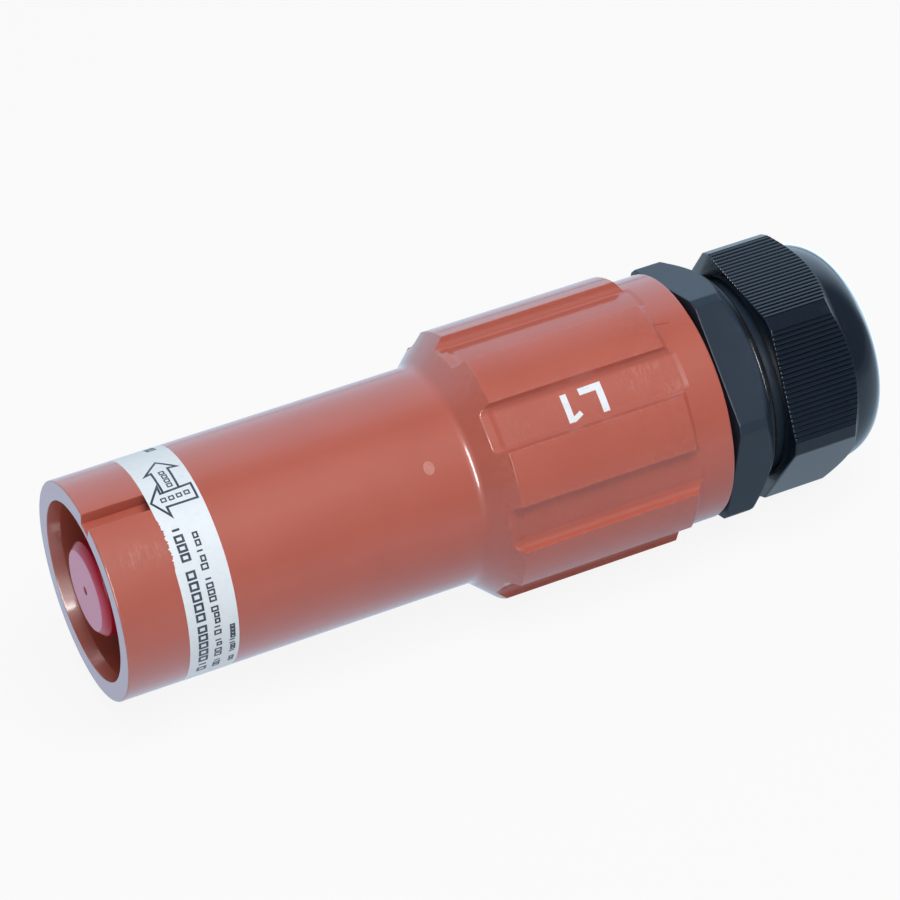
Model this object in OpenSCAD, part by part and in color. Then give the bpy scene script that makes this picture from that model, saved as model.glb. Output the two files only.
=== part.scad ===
// Single pole power connector, cable half.
// A moulded insulating shell shrouds one heavy contact, and a plastic cable gland closes its rear.
// Each piece is turned about local Z from the mating rim (Z = 0) towards the gland, then laid
// along +X with +Z up. Turns are counted about the axis from straight up towards the front (-Y).

/* [Shroud tube] */
// Outer diameter of the mating tube
tube_d = 50; // [48:0.5:54]
// Length of the plain tube, from the rim to the grip
tube_len = 84.4; // [80:0.5:100]
// Diameter of the wider mouth just inside the rim
mouth_d = 41.1; // [40.4:0.1:43]
// Depth of the wider mouth
mouth_len = 2.9; // [2:0.1:6]
// Bore of the shroud behind the mouth
bore_d = 40; // [37:0.5:40]
// Depth from the rim to the bulkhead that carries the contact
bore_depth = 66; // [60:1:70]
// Fillet between the tube and the grip's cone
root_fillet = 3; // [0.5:0.1:5]

/* [Bayonet slots] */
// Number of bayonet slots
slot_count = 1; // [1:1:3]
// Width of each slot at the tube's surface
slot_w = 4.2; // [3:0.1:6]
// Depth of each slot
slot_depth = 3; // [2:0.1:3.4]
// Distance from the rim to the far wall of the locking leg
slot_reach = 18.6; // [15:0.1:20]
// Turn of the first slot's leading wall
slot_turn = 16.5; // [10:0.5:25]
// Turn that locks the connector
lock_turn = 24; // [15:1:60]

/* [Label] */
// Distance from the rim to the label
label_start = 14.2; // [12:0.1:17]
// Width of the label
label_w = 11.4; // [8:0.1:16]
// Thickness of the label
label_t = 0.2; // [0.1:0.05:0.4]

/* [Grip] */
// Length of the grip, from the tube's end to the rear face
grip_len = 59.3; // [58:0.5:75]
// Diameter over the raised panels
panel_d = 62; // [60:0.5:66]
// Diameter of the plain rear band
band_d = 57.4; // [56:0.2:58.6]
// Slope of the front cone against the axis
cone_angle = 42; // [35:1:55]
// Number of raised panels
panel_count = 8; // [6:1:9]
// Width of a panel across its top edges
panel_w = 12.6; // [10:0.2:14]
// Length of the rear band, from the panels' feet to the rear face
band_len = 8.6; // [6:0.2:12]
// Length of the slope that ends each panel
panel_slope = 1.6; // [1:0.1:3]
// Draft of the panels' side walls
panel_draft = 5; // [2:1:12]
// Fillet along the foot of each panel's side
foot_fillet = 1; // [0.6:0.1:1.4]
// Depth of the inset in each channel's floor, below the rear band
inset_depth = 0.25; // [0.1:0.05:0.6]
// Land left in front of the inset, behind the cone
inset_land = 2; // [1:0.1:4]
// Length by which the inset runs into the rear band
inset_run = 1.4; // [0.5:0.1:3]
// Rounding of the grip's edges
grip_edge = 0.5; // [0.2:0.1:0.8]

/* [Bulkhead and cavity] */
// Thickness of the bulkhead
bulkhead_t = 12; // [10:1:14]
// Diameter of the cavity behind the bulkhead
cavity_d = 38; // [37.6:0.1:38.3]
// Thickness of the flat seal at the bottom of the shroud
face_seal_t = 2; // [1:0.5:4]
// Wire of the O-ring in the bulkhead
shaft_ring_wire = 1.6; // [1.2:0.1:2]
// Distance from the bulkhead's rear face to the O-ring
shaft_ring_setback = 5; // [3:0.5:7]
// Thickness of the insulating thrust ring
thrust_t = 3; // [2:0.5:4]
// Thickness of the retaining clip
clip_t = 1.5; // [1:0.1:2]
// Depth of the retaining clip's groove
clip_groove = 1; // [0.6:0.1:1.5]
// Opening of the retaining clip, as a turn
clip_opening = 40; // [20:5:90]
// Space between the retaining clip and the barrel
clip_space = 0.6; // [0.3:0.1:1]

/* [Contact] */
// Diameter of the contact pin
pin_d = 22; // [21.6:0.2:23]
// Diameter of the pin's hollow core, which holds the tip's stem
core_d = 16; // [12:0.5:16.5]
// Depth of the hollow core
core_depth = 64; // [30:1:64]
// Diameter of the contact's shaft through the bulkhead
shaft_d = 23.6; // [22.8:0.2:25]
// Diameter of the contact's flange
flange_d = 36.4; // [35:0.2:37.4]
// Thickness of the contact's flange
flange_t = 6; // [4:0.5:8]
// Diameter of the conductor barrel
barrel_d = 32; // [28:0.5:32.5]
// Length of the conductor barrel behind the flange
barrel_len = 45; // [36:0.5:45]
// Diameter of the hole for the conductor
conductor_d = 18; // [14:0.5:20]
// Depth of the hole for the conductor
conductor_depth = 38; // [32:1:39]
// Diameter of the two clamping screws
screw_d = 10; // [8:1:11]
// Length of the clamping screws
screw_len = 5.8; // [4.5:0.1:6.2]
// Distance between the clamping screws
screw_pitch = 15; // [13:1:18]
// Distance from the barrel's end to the rear screw
screw_setback = 11; // [8:1:12]
// Size across the flats of the screws' hexagon sockets
socket_af = 5; // [4:0.5:6]
// Diameter of the key pin that stops the contact turning
key_d = 4; // [3:0.5:4.5]
// Depth of the key pin in the bulkhead
key_depth = 6; // [4:0.5:9]
// Rounding of the contact's edges
contact_edge = 0.4; // [0.2:0.1:0.8]

/* [Insulating tip] */
// Diameter of the tip
tip_d = 21.6; // [20.4:0.2:21.6]
// Length of the tip
tip_len = 12.5; // [11:0.5:16]
// Distance from the rim back to the tip's face
tip_recess = 0.5; // [0.2:0.1:3]
// Bevel round the tip's face
tip_bevel = 1.6; // [0.8:0.1:2.5]
// Diameter of the vent through the tip
vent_d = 2; // [1.5:0.1:3]
// Length of the tip's stem
stem_len = 14; // [10:1:24]

/* [Gland body] */
// Nominal diameter of the gland's thread
gland_thread_d = 40; // [39:0.5:42]
// Engaged length of the gland's thread
gland_thread_len = 13; // [10:0.5:14]
// Thickness of the gasket under the gland
gasket_t = 1.3; // [0.8:0.1:2]
// Outer diameter of the gasket
gasket_d = 49; // [46:0.5:50]
// Size across the flats of the body
body_af = 53; // [52:0.5:56]
// Length of the body's hexagon
body_hex_len = 9.6; // [8:0.2:14]
// Turn of the middle of one flat of the body
body_turn = 48.6; // [0:0.1:60]
// Rise of the cone over the body's rear corners, for each unit of length
body_cone = 1.2; // [0.8:0.1:2]
// Width of the flattened corners of the body
body_corner_w = 2.4; // [1.5:0.1:4]
// Bore of the body
body_bore_d = 31.4; // [29:0.2:32]
// Depth from the hexagon's front face to the seal's chamber
chamber_setback = 8; // [6:0.5:10]
// Diameter of the neck behind the hexagon
neck_d = 46; // [45:0.2:47]
// Wire of the ring between the body and the nut
collar_wire = 2; // [1.5:0.1:2.4]

/* [Gland nut] */
// Gap between the hexagons of body and nut
nut_gap = 4.4; // [3.5:0.1:6]
// Diameter of the rear thread under the nut
nut_thread_d = 45; // [44:0.5:46]
// Length of the nut's thread
nut_thread_len = 13; // [10:0.5:16]
// Size across the flats of the nut
nut_af = 52; // [50:0.5:54]
// Length of the nut
nut_len = 27.6; // [26:0.2:32]
// Turn of the middle of one ridged flat of the nut
nut_turn = 68.5; // [0:0.1:120]
// Width of the flattened corners of the nut
nut_corner_w = 3.4; // [1.5:0.1:4.5]
// Length of the nut's flats
flat_len = 17.8; // [16:0.2:18.4]
// Slope of the cone behind the flats, against the axis
nut_cone = 50; // [40:1:65]
// Diameter at the dome's foot
dome_d = 51; // [50:0.2:51.6]
// Rounding of the dome
dome_r = 9.6; // [7:0.2:11]
// Diameter of the nut's cable hole
nut_hole_d = 30; // [26:0.5:31]
// Number of ridges on each gripping flat
ridge_count = 23; // [15:1:27]
// Depth of the grooves between the ridges
ridge_depth = 0.4; // [0.2:0.05:0.7]
// Plain margin beside the ridges
ridge_margin = 0.6; // [0.4:0.1:2.5]

/* [Seal and cage] */
// Cable hole of the sealing insert
seal_d = 28; // [20:0.5:29]
// Wall of the sealing insert
seal_wall = 3.4; // [2:0.1:4]
// Wall of the clamping cage
cage_wall = 3.3; // [2:0.1:3.6]
// Length of the cage's plain base
cage_base = 7; // [5:0.5:10]
// Distance from the nut's rear face to the fingers' ends
cage_setback = 5.4; // [4.6:0.2:8]
// Wall of the fingers at their ends
finger_end_wall = 1.8; // [1.2:0.1:2.4]
// Number of fingers on the clamping cage
finger_count = 12; // [8:1:16]
// Width of the gaps between the fingers
finger_gap = 1.6; // [1:0.1:2.5]

/* [Clearances] */
// Radial clearance of threads, which are drawn plain
thread_gap = 0.1; // [0.05:0.05:0.3]
// Radial clearance of pieces that slide in when the connector is put together
slip_gap = 0.2; // [0.1:0.05:0.4]
// Clearance between the nut's cone and the fingers
cone_gap = 0.3; // [0.1:0.1:0.6]
// Radial clearance of the key pin in its holes
key_gap = 0.02; // [0.01:0.01:0.1]

/* [Hidden] */
$fn = 96;
// Sides of small holes and wires
small_fn = 32;
// Turn between the points of a rounded corner
arc_step = 15;
// How far a shape runs past the face that ends it
over = 1;
// Overlap that joins two touching shapes of one cutter
join = 0.01;
// Lead-in chamfers, small and large
lead = 0.5;
wide_lead = 1.5;

// Colours of the pieces
orange = [0.70, 0.33, 0.26];
red = [0.62, 0.09, 0.16];
black = [0.12, 0.14, 0.17];
rubber = [0.07, 0.07, 0.08];
silver = [0.80, 0.80, 0.79];
steel = [0.55, 0.56, 0.58];
ivory = [0.86, 0.84, 0.78];

// Stations along the axis, counted from the rim
shell_len = tube_len + grip_len;
panel_foot = shell_len - band_len;
panel_end = panel_foot - panel_slope;
inset_end = panel_foot + inset_run;
bulkhead_rear = bore_depth + bulkhead_t;
flange_rear = bulkhead_rear + flange_t;
thrust_rear = flange_rear + thrust_t;
clip_rear = thrust_rear + clip_t;
barrel_end = flange_rear + barrel_len;
tip_back = tip_recess + tip_len;
shaft_start = bore_depth - face_seal_t;
shaft_ring_station = bulkhead_rear - shaft_ring_setback;
rear_screw = barrel_end - screw_setback;
front_screw = rear_screw - screw_pitch;
spigot_start = shell_len - gland_thread_len;
hex_start = shell_len + gasket_t;
hex_end = hex_start + body_hex_len;
nut_start = hex_end + nut_gap;
nut_end = nut_start + nut_len;
body_end = nut_start + nut_thread_len;
chamber_start = hex_start + chamber_setback;
cage_end = nut_end - cage_setback;
insert_end = body_end + over;

// Radii that follow from the sizes above
tube_r = tube_d / 2;
bore_r = bore_d / 2;
panel_r = panel_d / 2;
band_r = band_d / 2;
inset_r = band_r - inset_depth;
slot_floor_r = tube_r - slot_depth;
cavity_r = cavity_d / 2;
barrel_r = barrel_d / 2;
conductor_r = conductor_d / 2;
gland_r = gland_thread_d / 2;
nut_thread_r = nut_thread_d / 2;
nut_hole_r = nut_hole_d / 2;
bulkhead_bore_r = shaft_d / 2 + slip_gap;
groove_r = cavity_r + clip_groove;
clip_r = groove_r - thread_gap;
insert_r = seal_d / 2 + seal_wall;
cage_in_r = insert_r + thread_gap;
cage_r = cage_in_r + cage_wall;
chamber_r = cage_r + thread_gap;
finger_in_r = nut_hole_r + slip_gap;
finger_end_r = finger_in_r + finger_end_wall;

// Place of the key pin: under the axis, half way between shaft and flange rim
key_turn = 180;
key_offset = (shaft_d + flange_d) / 4;

// A vector of length one
function unit(v) = v / norm(v);

// The points that round corner p, between its neighbours a and b, with radius f
function round_corner(a, p, b, f) =
    let (u = unit(a - p),
         w = unit(b - p),
         half = acos(u * w) / 2,
         centre = p + unit(u + w) * f / sin(half),
         from = p + u * f / tan(half) - centre,
         start = atan2(from.y, from.x),
         sweep = (180 - 2 * half) * (u.x * w.y - u.y * w.x > 0 ? -1 : 1),
         steps = max(2, ceil(abs(sweep) / arc_step)))
    [for (i = [0 : steps]) centre + f * [cos(start + sweep * i / steps), sin(start + sweep * i / steps)]];

// An outline from corners given as [x, y] or, where the corner is rounded, [x, y, radius]
function rounded(corners) =
    let (n = len(corners),
         flat = [for (c = corners) [c.x, c.y]])
    [for (i = [0 : n - 1])
        each (len(corners[i]) == 3
            ? round_corner(flat[(i + n - 1) % n], flat[i], flat[(i + 1) % n], corners[i][2])
            : [flat[i]])];

// A point turned about the origin
function turned_point(p, turn) = [p.x * cos(turn) - p.y * sin(turn), p.x * sin(turn) + p.y * cos(turn)];

// Station where the cone in front of the grip reaches a radius
function cone_station(r) = tube_len + (r - tube_r) / tan(cone_angle);

// Lays local Z along +X and local X along +Z
module on_axis() {
    rotate([180, -90, 0]) children();
}

// A solid turned from an outline of [radius, station] corners
module turned(corners) {
    rotate_extrude() polygon(rounded(corners));
}

// A solid disc or cylinder between two stations
module disc(r, from, to) {
    translate([0, 0, from]) cylinder(r = r, h = to - from);
}

// A plain ring between two stations
module ring(inner, outer, from, to) {
    rotate_extrude() translate([inner, from]) square([outer - inner, to - from]);
}

// A piece of a ring between two turns
module ring_sector(inner, outer, from, to, turn, sweep) {
    rotate([0, 0, turn]) rotate_extrude(angle = sweep) translate([inner, from]) square([outer - inner, to - from]);
}

// A torus of round wire
module wire_ring(middle, wire, station) {
    translate([0, 0, station]) rotate_extrude() translate([middle, 0]) circle(d = wire, $fn = small_fn);
}

// A small round hole or pin along the axis, at the key's place
module at_key(r, from, to) {
    rotate([0, 0, key_turn]) translate([key_offset, 0, from]) cylinder(r = r, h = to - from, $fn = small_fn);
}

// The channel between two panels, seen along the axis: drafted walls with a fillet at each foot and
// a rounded edge at each top, over a round floor
module channel_section(floor_r) {
    half_pitch = 180 / panel_count;
    half_turn = half_pitch - asin(panel_w / panel_d);
    slant = half_pitch - panel_draft;
    along = [cos(slant), sin(slant)];
    across = [-sin(slant), cos(slant)];
    wall = panel_r * [cos(half_turn), sin(half_turn)] * across;
    foot = across * (wall - foot_fillet)
         + along * sqrt(pow(floor_r + foot_fillet, 2) - pow(wall - foot_fillet, 2));
    top = across * (wall + grip_edge)
        + along * sqrt(pow(panel_r + join - grip_edge, 2) - pow(wall + grip_edge, 2));
    top_turn = atan2(top.y, top.x);
    first = slant - 90;
    steps = ceil((top_turn - first) / arc_step);
    edge = [for (i = [0 : steps]) let (turn = first + (top_turn - first) * i / steps)
        top + grip_edge * [cos(turn), sin(turn)]];
    upper = concat([[floor_r - 2 * over, foot.y], foot, foot + across * foot_fillet], edge,
                   [top + unit(top) * (grip_edge + 2 * over)]);
    lower = [for (i = [len(upper) - 1 : -1 : 0]) [upper[i].x, -upper[i].y]];
    difference() {
        union() {
            polygon(concat(upper, lower));
            for (side = [-1, 1])
                translate([foot.x, side * foot.y]) circle(r = foot_fillet + join, $fn = small_fn);
        }
        circle(r = floor_r, $fn = 180);
    }
}

// A channel: on the land behind the cone its floor is level with the rear band, then it is set in
module channel() {
    inset_start = cone_station(band_r) + inset_land;
    translate([0, 0, tube_len - over])
        linear_extrude(inset_start - tube_len + over + join) channel_section(band_r);
    translate([0, 0, inset_start]) linear_extrude(inset_end - inset_start) channel_section(inset_r);
}

// One bayonet slot: a leg in from the rim, and a leg round the tube where the connector locks
module bayonet_slot() {
    sweep = 2 * asin(slot_w / tube_d);
    difference() {
        ring_sector(slot_floor_r, tube_r + over, -over, slot_reach, 0, sweep + lock_turn);
        ring_sector(slot_floor_r - over, tube_r + 2 * over, -2 * over, slot_reach - slot_w, sweep, lock_turn + over);
    }
}

// Everything inside the shell: mouth and bore, bulkhead hole, cavity, clip groove, thread and key hole
module shell_hollows() {
    turned([[0, -over], [mouth_d / 2, -over], [mouth_d / 2, mouth_len], [bore_r, mouth_len + lead],
            [bore_r, bore_depth, grip_edge], [0, bore_depth]]);
    disc(bulkhead_bore_r, bore_depth - over, bulkhead_rear + over);
    disc(cavity_r, bulkhead_rear, shell_len + over);
    ring(cavity_r - over, groove_r, thrust_rear, clip_rear);
    turned([[0, spigot_start - over], [gland_r, spigot_start - over], [gland_r, shell_len - lead],
            [gland_r + wide_lead, shell_len + over], [0, shell_len + over]]);
    at_key(key_d / 2, bulkhead_rear - key_depth, bulkhead_rear + over);
}

// The moulded shell: shroud tube, grip and bulkhead in one piece
module shell() {
    color(orange) on_axis() difference() {
        turned([[0, 0], [tube_r, 0], [tube_r, tube_len, root_fillet], [panel_r, cone_station(panel_r), grip_edge],
                [panel_r, panel_end, grip_edge], [band_r, panel_foot, grip_edge], [band_r, shell_len, grip_edge],
                [0, shell_len]]);
        for (k = [0 : panel_count - 1])
            rotate([0, 0, 360 / panel_count * k]) channel();
        ring(tube_r - label_t, tube_r + over, label_start, label_start + label_w);
        for (k = [0 : slot_count - 1])
            rotate([0, 0, slot_turn + 360 / slot_count * k]) bayonet_slot();
        shell_hollows();
    }
}

// The printed label, flush in its recess, wrapped round the tube over the slots' locking legs
module label_band() {
    color("white") on_axis() ring(tube_r - label_t, tube_r, label_start, label_start + label_w);
}

// The insulating tip that keeps fingers off the contact, with a stem that screws into the pin
module contact_tip() {
    r = tip_d / 2;
    stem_r = core_d / 2 - thread_gap;
    stem_end = tip_back + stem_len;
    color(red) on_axis() difference() {
        union() {
            turned([[0, tip_recess], [r - tip_bevel, tip_recess, lead], [r, tip_recess + tip_bevel, lead],
                    [r, tip_back], [0, tip_back]]);
            turned([[0, tip_back - over], [stem_r, tip_back - over], [stem_r, stem_end - lead], [stem_r - lead, stem_end],
                    [0, stem_end]]);
        }
        translate([0, 0, tip_recess - over]) cylinder(d = vent_d, h = stem_end - tip_recess + 2 * over, $fn = small_fn);
    }
}

// The contact: hollow pin, shaft, flange and conductor barrel turned from one bar
module contact_pin() {
    conductor_start = barrel_end - conductor_depth;
    color(silver) on_axis() difference() {
        turned([[0, tip_back], [pin_d / 2, tip_back, contact_edge], [pin_d / 2, shaft_start - over], [shaft_d / 2, shaft_start],
                [shaft_d / 2, bulkhead_rear], [flange_d / 2, bulkhead_rear, contact_edge],
                [flange_d / 2, flange_rear, contact_edge], [barrel_r, flange_rear], [barrel_r, barrel_end, 2 * contact_edge],
                [0, barrel_end]]);
        turned([[0, tip_back - over], [core_d / 2, tip_back - over], [core_d / 2, tip_back + core_depth - lead],
                [core_d / 2 - lead, tip_back + core_depth], [0, tip_back + core_depth]]);
        ring(bulkhead_bore_r - shaft_ring_wire, shaft_d, shaft_ring_station - 0.6 * shaft_ring_wire,
             shaft_ring_station + 0.6 * shaft_ring_wire);
        turned([[0, conductor_start], [conductor_r - 2 * lead, conductor_start], [conductor_r, conductor_start + lead],
                [conductor_r, barrel_end - over], [conductor_r + wide_lead, barrel_end + lead], [0, barrel_end + lead]]);
        for (z = [front_screw, rear_screw])
            translate([0, 0, z]) rotate([0, 90, 0]) cylinder(d = screw_d, h = barrel_d, $fn = 48);
        at_key(key_d / 2, bulkhead_rear - over, flange_rear - 2 * over);
    }
}

// The key pin between the bulkhead and the flange
module key_pin() {
    color(steel) on_axis() at_key(key_d / 2 - key_gap, bulkhead_rear - key_depth, flange_rear - 2 * over);
}

// The flat seal at the bottom of the shroud, which the mating half presses on
module face_seal() {
    color(rubber) on_axis() ring(shaft_d / 2 + slip_gap, bore_r - grip_edge, shaft_start, bore_depth);
}

// The O-ring between the contact's shaft and the bulkhead
module shaft_ring() {
    color(rubber) on_axis() wire_ring(bulkhead_bore_r - shaft_ring_wire / 2, shaft_ring_wire, shaft_ring_station);
}

// The insulating ring behind the flange
module thrust_ring() {
    color(ivory) on_axis() ring(barrel_r + slip_gap, cavity_r - slip_gap, flange_rear, thrust_rear);
}

// The spring clip that holds the contact in the shell
module retaining_clip() {
    color(steel) on_axis()
        ring_sector(barrel_r + clip_space, clip_r, thrust_rear, clip_rear, clip_opening / 2, 360 - clip_opening);
}

// One clamping screw, with a hexagon socket in its outer end
module clamp_screw(station) {
    r = screw_d / 2 - thread_gap / 2;
    color(steel) on_axis() translate([conductor_r + slip_gap, 0, station]) rotate([0, 90, 0]) difference() {
        turned([[0, 0], [r - lead, 0], [r, lead], [r, screw_len], [0, screw_len]]);
        translate([0, 0, screw_len / 2]) cylinder(d = socket_af / cos(30), h = screw_len, $fn = 6);
    }
}

// The gasket between the shell's rear face and the gland
module gland_gasket() {
    color(rubber) on_axis() ring(gland_r, gasket_d / 2, shell_len, hex_start);
}

// The body's hexagon prism with flattened corners, one flat facing local X
module body_hexagon() {
    corner_r = (body_af - body_corner_w / 2) / sqrt(3);
    translate([0, 0, hex_start]) linear_extrude(body_hex_len) intersection() {
        rotate(30) circle(r = body_af / sqrt(3), $fn = 6);
        circle(r = corner_r / cos(30), $fn = 6);
    }
}

// The gland's body: threaded spigot, hexagon, neck and chamber
module gland_body() {
    flat_r = body_af / 2;
    peak_r = body_af / sqrt(3);
    thread_r = gland_r - thread_gap;
    neck_end = hex_end + collar_wire + thread_gap;
    color(black) on_axis() difference() {
        union() {
            turned([[0, spigot_start], [thread_r - over, spigot_start], [thread_r, spigot_start + over],
                    [thread_r, hex_start + over], [neck_d / 2, hex_start + over], [neck_d / 2, neck_end],
                    [nut_thread_r, neck_end + lead], [nut_thread_r, body_end - over], [nut_thread_r - over, body_end],
                    [0, body_end]]);
            intersection() {
                rotate([0, 0, body_turn]) body_hexagon();
                turned([[0, hex_start], [peak_r, hex_start], [peak_r, hex_end - (peak_r - flat_r) / body_cone],
                        [flat_r, hex_end], [0, hex_end]]);
            }
        }
        disc(body_bore_d / 2, spigot_start - over, chamber_start + over);
        disc(chamber_r, chamber_start, body_end + over);
    }
}

// The ring seen between the body's hexagon and the nut
module collar_ring() {
    color(rubber) on_axis() wire_ring(neck_d / 2 + collar_wire / 2, collar_wire, hex_end + collar_wire / 2 + thread_gap);
}

// The clamping cage: a base ring in the chamber and fingers that the nut presses in
module clamping_cage() {
    color(black) on_axis() difference() {
        turned([[cage_in_r, chamber_start], [cage_r, chamber_start], [cage_r, body_end], [finger_end_r, cage_end],
                [finger_in_r, cage_end], [cage_in_r, body_end + over]]);
        for (k = [0 : finger_count - 1])
            rotate([0, 0, 360 / finger_count * (k + 0.5)]) translate([seal_d / 4, -finger_gap / 2, chamber_start + cage_base])
                cube([nut_hole_d, finger_gap, nut_len]);
    }
}

// The rubber insert that closes on the cable
module sealing_insert() {
    r = seal_d / 2;
    color(rubber) on_axis() turned([[r, chamber_start, lead], [insert_r, chamber_start], [insert_r, insert_end, over],
                                    [r, insert_end, over]]);
}

// The nut's hexagon seen along the axis: two smooth flats, and four with ridges
module nut_section() {
    flat_r = nut_af / 2;
    half_flat = flat_r * tan(30) - nut_corner_w / 2 * cos(30);
    half_field = half_flat - ridge_margin;
    groove_r = flat_r - ridge_depth;
    pitch = 2 * half_field / ridge_count;
    ridges = [for (k = [0 : ridge_count - 1]) let (y = pitch * (k + 0.5) - half_field)
        each [[groove_r, y - pitch / 2], [flat_r, y - pitch / 4], [flat_r, y + pitch / 4]]];
    smooth_flat = [[flat_r, -half_flat], [flat_r, half_flat]];
    ridged_flat = concat([[flat_r, -half_flat], [flat_r, -half_field]], ridges,
                         [[groove_r, half_field], [flat_r, half_field], [flat_r, half_flat]]);
    polygon([for (k = [0 : 5]) each [for (p = k % 3 == 1 ? smooth_flat : ridged_flat) turned_point(p, nut_turn + 60 * k)]]);
}

// The nut's outline along the axis: up to the ends of the flats, a cone that cuts them back, a round dome
module dome_outline() {
    flat_r = nut_af / 2;
    peak_r = flat_r / cos(30);
    flat_end = nut_start + flat_len;
    cone_end = flat_end + over / tan(nut_cone);
    polygon([[0, nut_start], [peak_r, nut_start], [peak_r, flat_end - (peak_r - flat_r) / tan(nut_cone)],
             [flat_r - over, cone_end], [0, cone_end]]);
    translate([dome_d / 2 - dome_r, nut_end - dome_r]) circle(r = dome_r);
}

// The domed nut: the ridged hexagon within the outline above, threaded at its front and tapered inside
module dome_nut() {
    thread_r = nut_thread_r + thread_gap;
    color(black) on_axis() difference() {
        intersection() {
            translate([0, 0, nut_start]) linear_extrude(nut_len) nut_section();
            rotate_extrude() dome_outline();
        }
        turned([[0, nut_start - over], [thread_r + wide_lead, nut_start - over], [thread_r + wide_lead, nut_start],
                [thread_r, nut_start + wide_lead], [thread_r, body_end + lead], [cage_r + cone_gap, body_end + over],
                [finger_end_r + cone_gap, cage_end + cone_gap], [nut_hole_r, cage_end + cone_gap],
                [nut_hole_r, nut_end - over], [nut_hole_r + 2 * over, nut_end + over], [0, nut_end + over]]);
    }
}

shell();
label_band();
contact_tip();
contact_pin();
key_pin();
face_seal();
shaft_ring();
thrust_ring();
retaining_clip();
clamp_screw(front_screw);  // clamp_screw_front
clamp_screw(rear_screw);  // clamp_screw_rear
gland_gasket();
gland_body();
collar_ring();
clamping_cage();
sealing_insert();
dome_nut();
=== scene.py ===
"""Looks of a single pole power connector, cable half: skins, prints, finishes, studio and camera.

Sizes are in millimetres and turns in degrees. Turns are counted about the axis, from straight up
towards the front (-Y), and stations along the axis from the mating rim towards the gland. Printed
and moulded marks are laid out from VIEW_TURN, the side that faces the camera.
"""

import enum
import logging
import math
from dataclasses import dataclass

import bpy
import numpy as np
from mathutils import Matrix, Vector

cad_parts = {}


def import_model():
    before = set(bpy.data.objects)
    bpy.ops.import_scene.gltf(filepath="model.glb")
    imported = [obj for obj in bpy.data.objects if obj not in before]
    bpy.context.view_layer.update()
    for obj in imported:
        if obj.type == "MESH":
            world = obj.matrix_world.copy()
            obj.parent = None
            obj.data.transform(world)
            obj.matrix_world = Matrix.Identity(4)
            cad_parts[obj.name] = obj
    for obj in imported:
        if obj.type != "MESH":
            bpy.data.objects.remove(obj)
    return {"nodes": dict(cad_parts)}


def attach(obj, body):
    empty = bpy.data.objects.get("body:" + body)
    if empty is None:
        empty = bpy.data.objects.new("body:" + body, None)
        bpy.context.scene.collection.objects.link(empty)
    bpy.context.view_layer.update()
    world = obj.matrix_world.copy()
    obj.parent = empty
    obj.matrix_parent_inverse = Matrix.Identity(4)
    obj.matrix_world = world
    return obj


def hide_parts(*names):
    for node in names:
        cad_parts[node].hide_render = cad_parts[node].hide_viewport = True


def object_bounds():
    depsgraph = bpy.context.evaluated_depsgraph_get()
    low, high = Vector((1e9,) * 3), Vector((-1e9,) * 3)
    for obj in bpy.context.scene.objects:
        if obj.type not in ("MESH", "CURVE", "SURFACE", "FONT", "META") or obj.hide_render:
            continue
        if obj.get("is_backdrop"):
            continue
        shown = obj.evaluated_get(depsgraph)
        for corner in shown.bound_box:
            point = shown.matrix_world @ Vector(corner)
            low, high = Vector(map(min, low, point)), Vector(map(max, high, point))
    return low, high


Array = np.ndarray
Triple = tuple[float, float, float]
Colour = tuple[float, float, float]
Path = tuple[tuple[float, float], ...]
Corner = tuple[float | Array, float | Array, float | Array]

LOG = logging.getLogger("connector")
MM = 0.001
BODY = "root"
VIEW_TURN = 54.9
TEAR_TURN = 46.0  # middle of the tear in the label's front edge
ARC_STEPS = 4  # steps of a rounded corner's arc
SUPPORT = 0.12  # how far outside an arc its flat has one more point
CREASE = 0.12  # width of a hexagon's creases
WELD = 1e-7  # points that are closer, in metres, are one
SHARP_ANGLE = 32.0  # edges that turn by more are shaded sharp
STROKE_STEP = 0.6  # longest step along a printed line
INK_HEIGHT = 0.03  # how far print reaches above and below its surface
WHITE: Colour = (1.0, 1.0, 1.0)
LAMP_AIM: Triple = (0.09, 0.0, 0.0)


class Slot(enum.Enum):
    """The record's material slots."""

    SHELL = "shell_plastic"
    LABEL = "label_foil"
    TIP = "tip_plastic"
    SILVER = "silver_plate"
    STEEL = "steel"
    RUBBER = "seal_rubber"
    IVORY = "ivory_plastic"
    GLAND = "gland_plastic"


class Field(enum.Enum):
    """Values that a skin carries at its points, for its material to read."""

    EDGE = "edge_wear"
    SCUFF = "scuffed"
    # where a pale painted reflection is laid on the base colour
    PAINTED_REFLECTION = "painted_reflection"
    GRAIN = "grained"
    GLOSS = "glossy"


def unit(vectors: Array) -> tuple[Array, Array]:
    """Scales vectors to length one, v / |v|, and leaves vectors of no length at zero.

    Args:
        vectors: Any number of vectors along the last axis.

    Returns:
        The unit vectors, and the lengths they had.
    """
    length = np.linalg.norm(vectors, axis=-1, keepdims=True)
    return vectors / np.maximum(length, 1e-12), length


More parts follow.
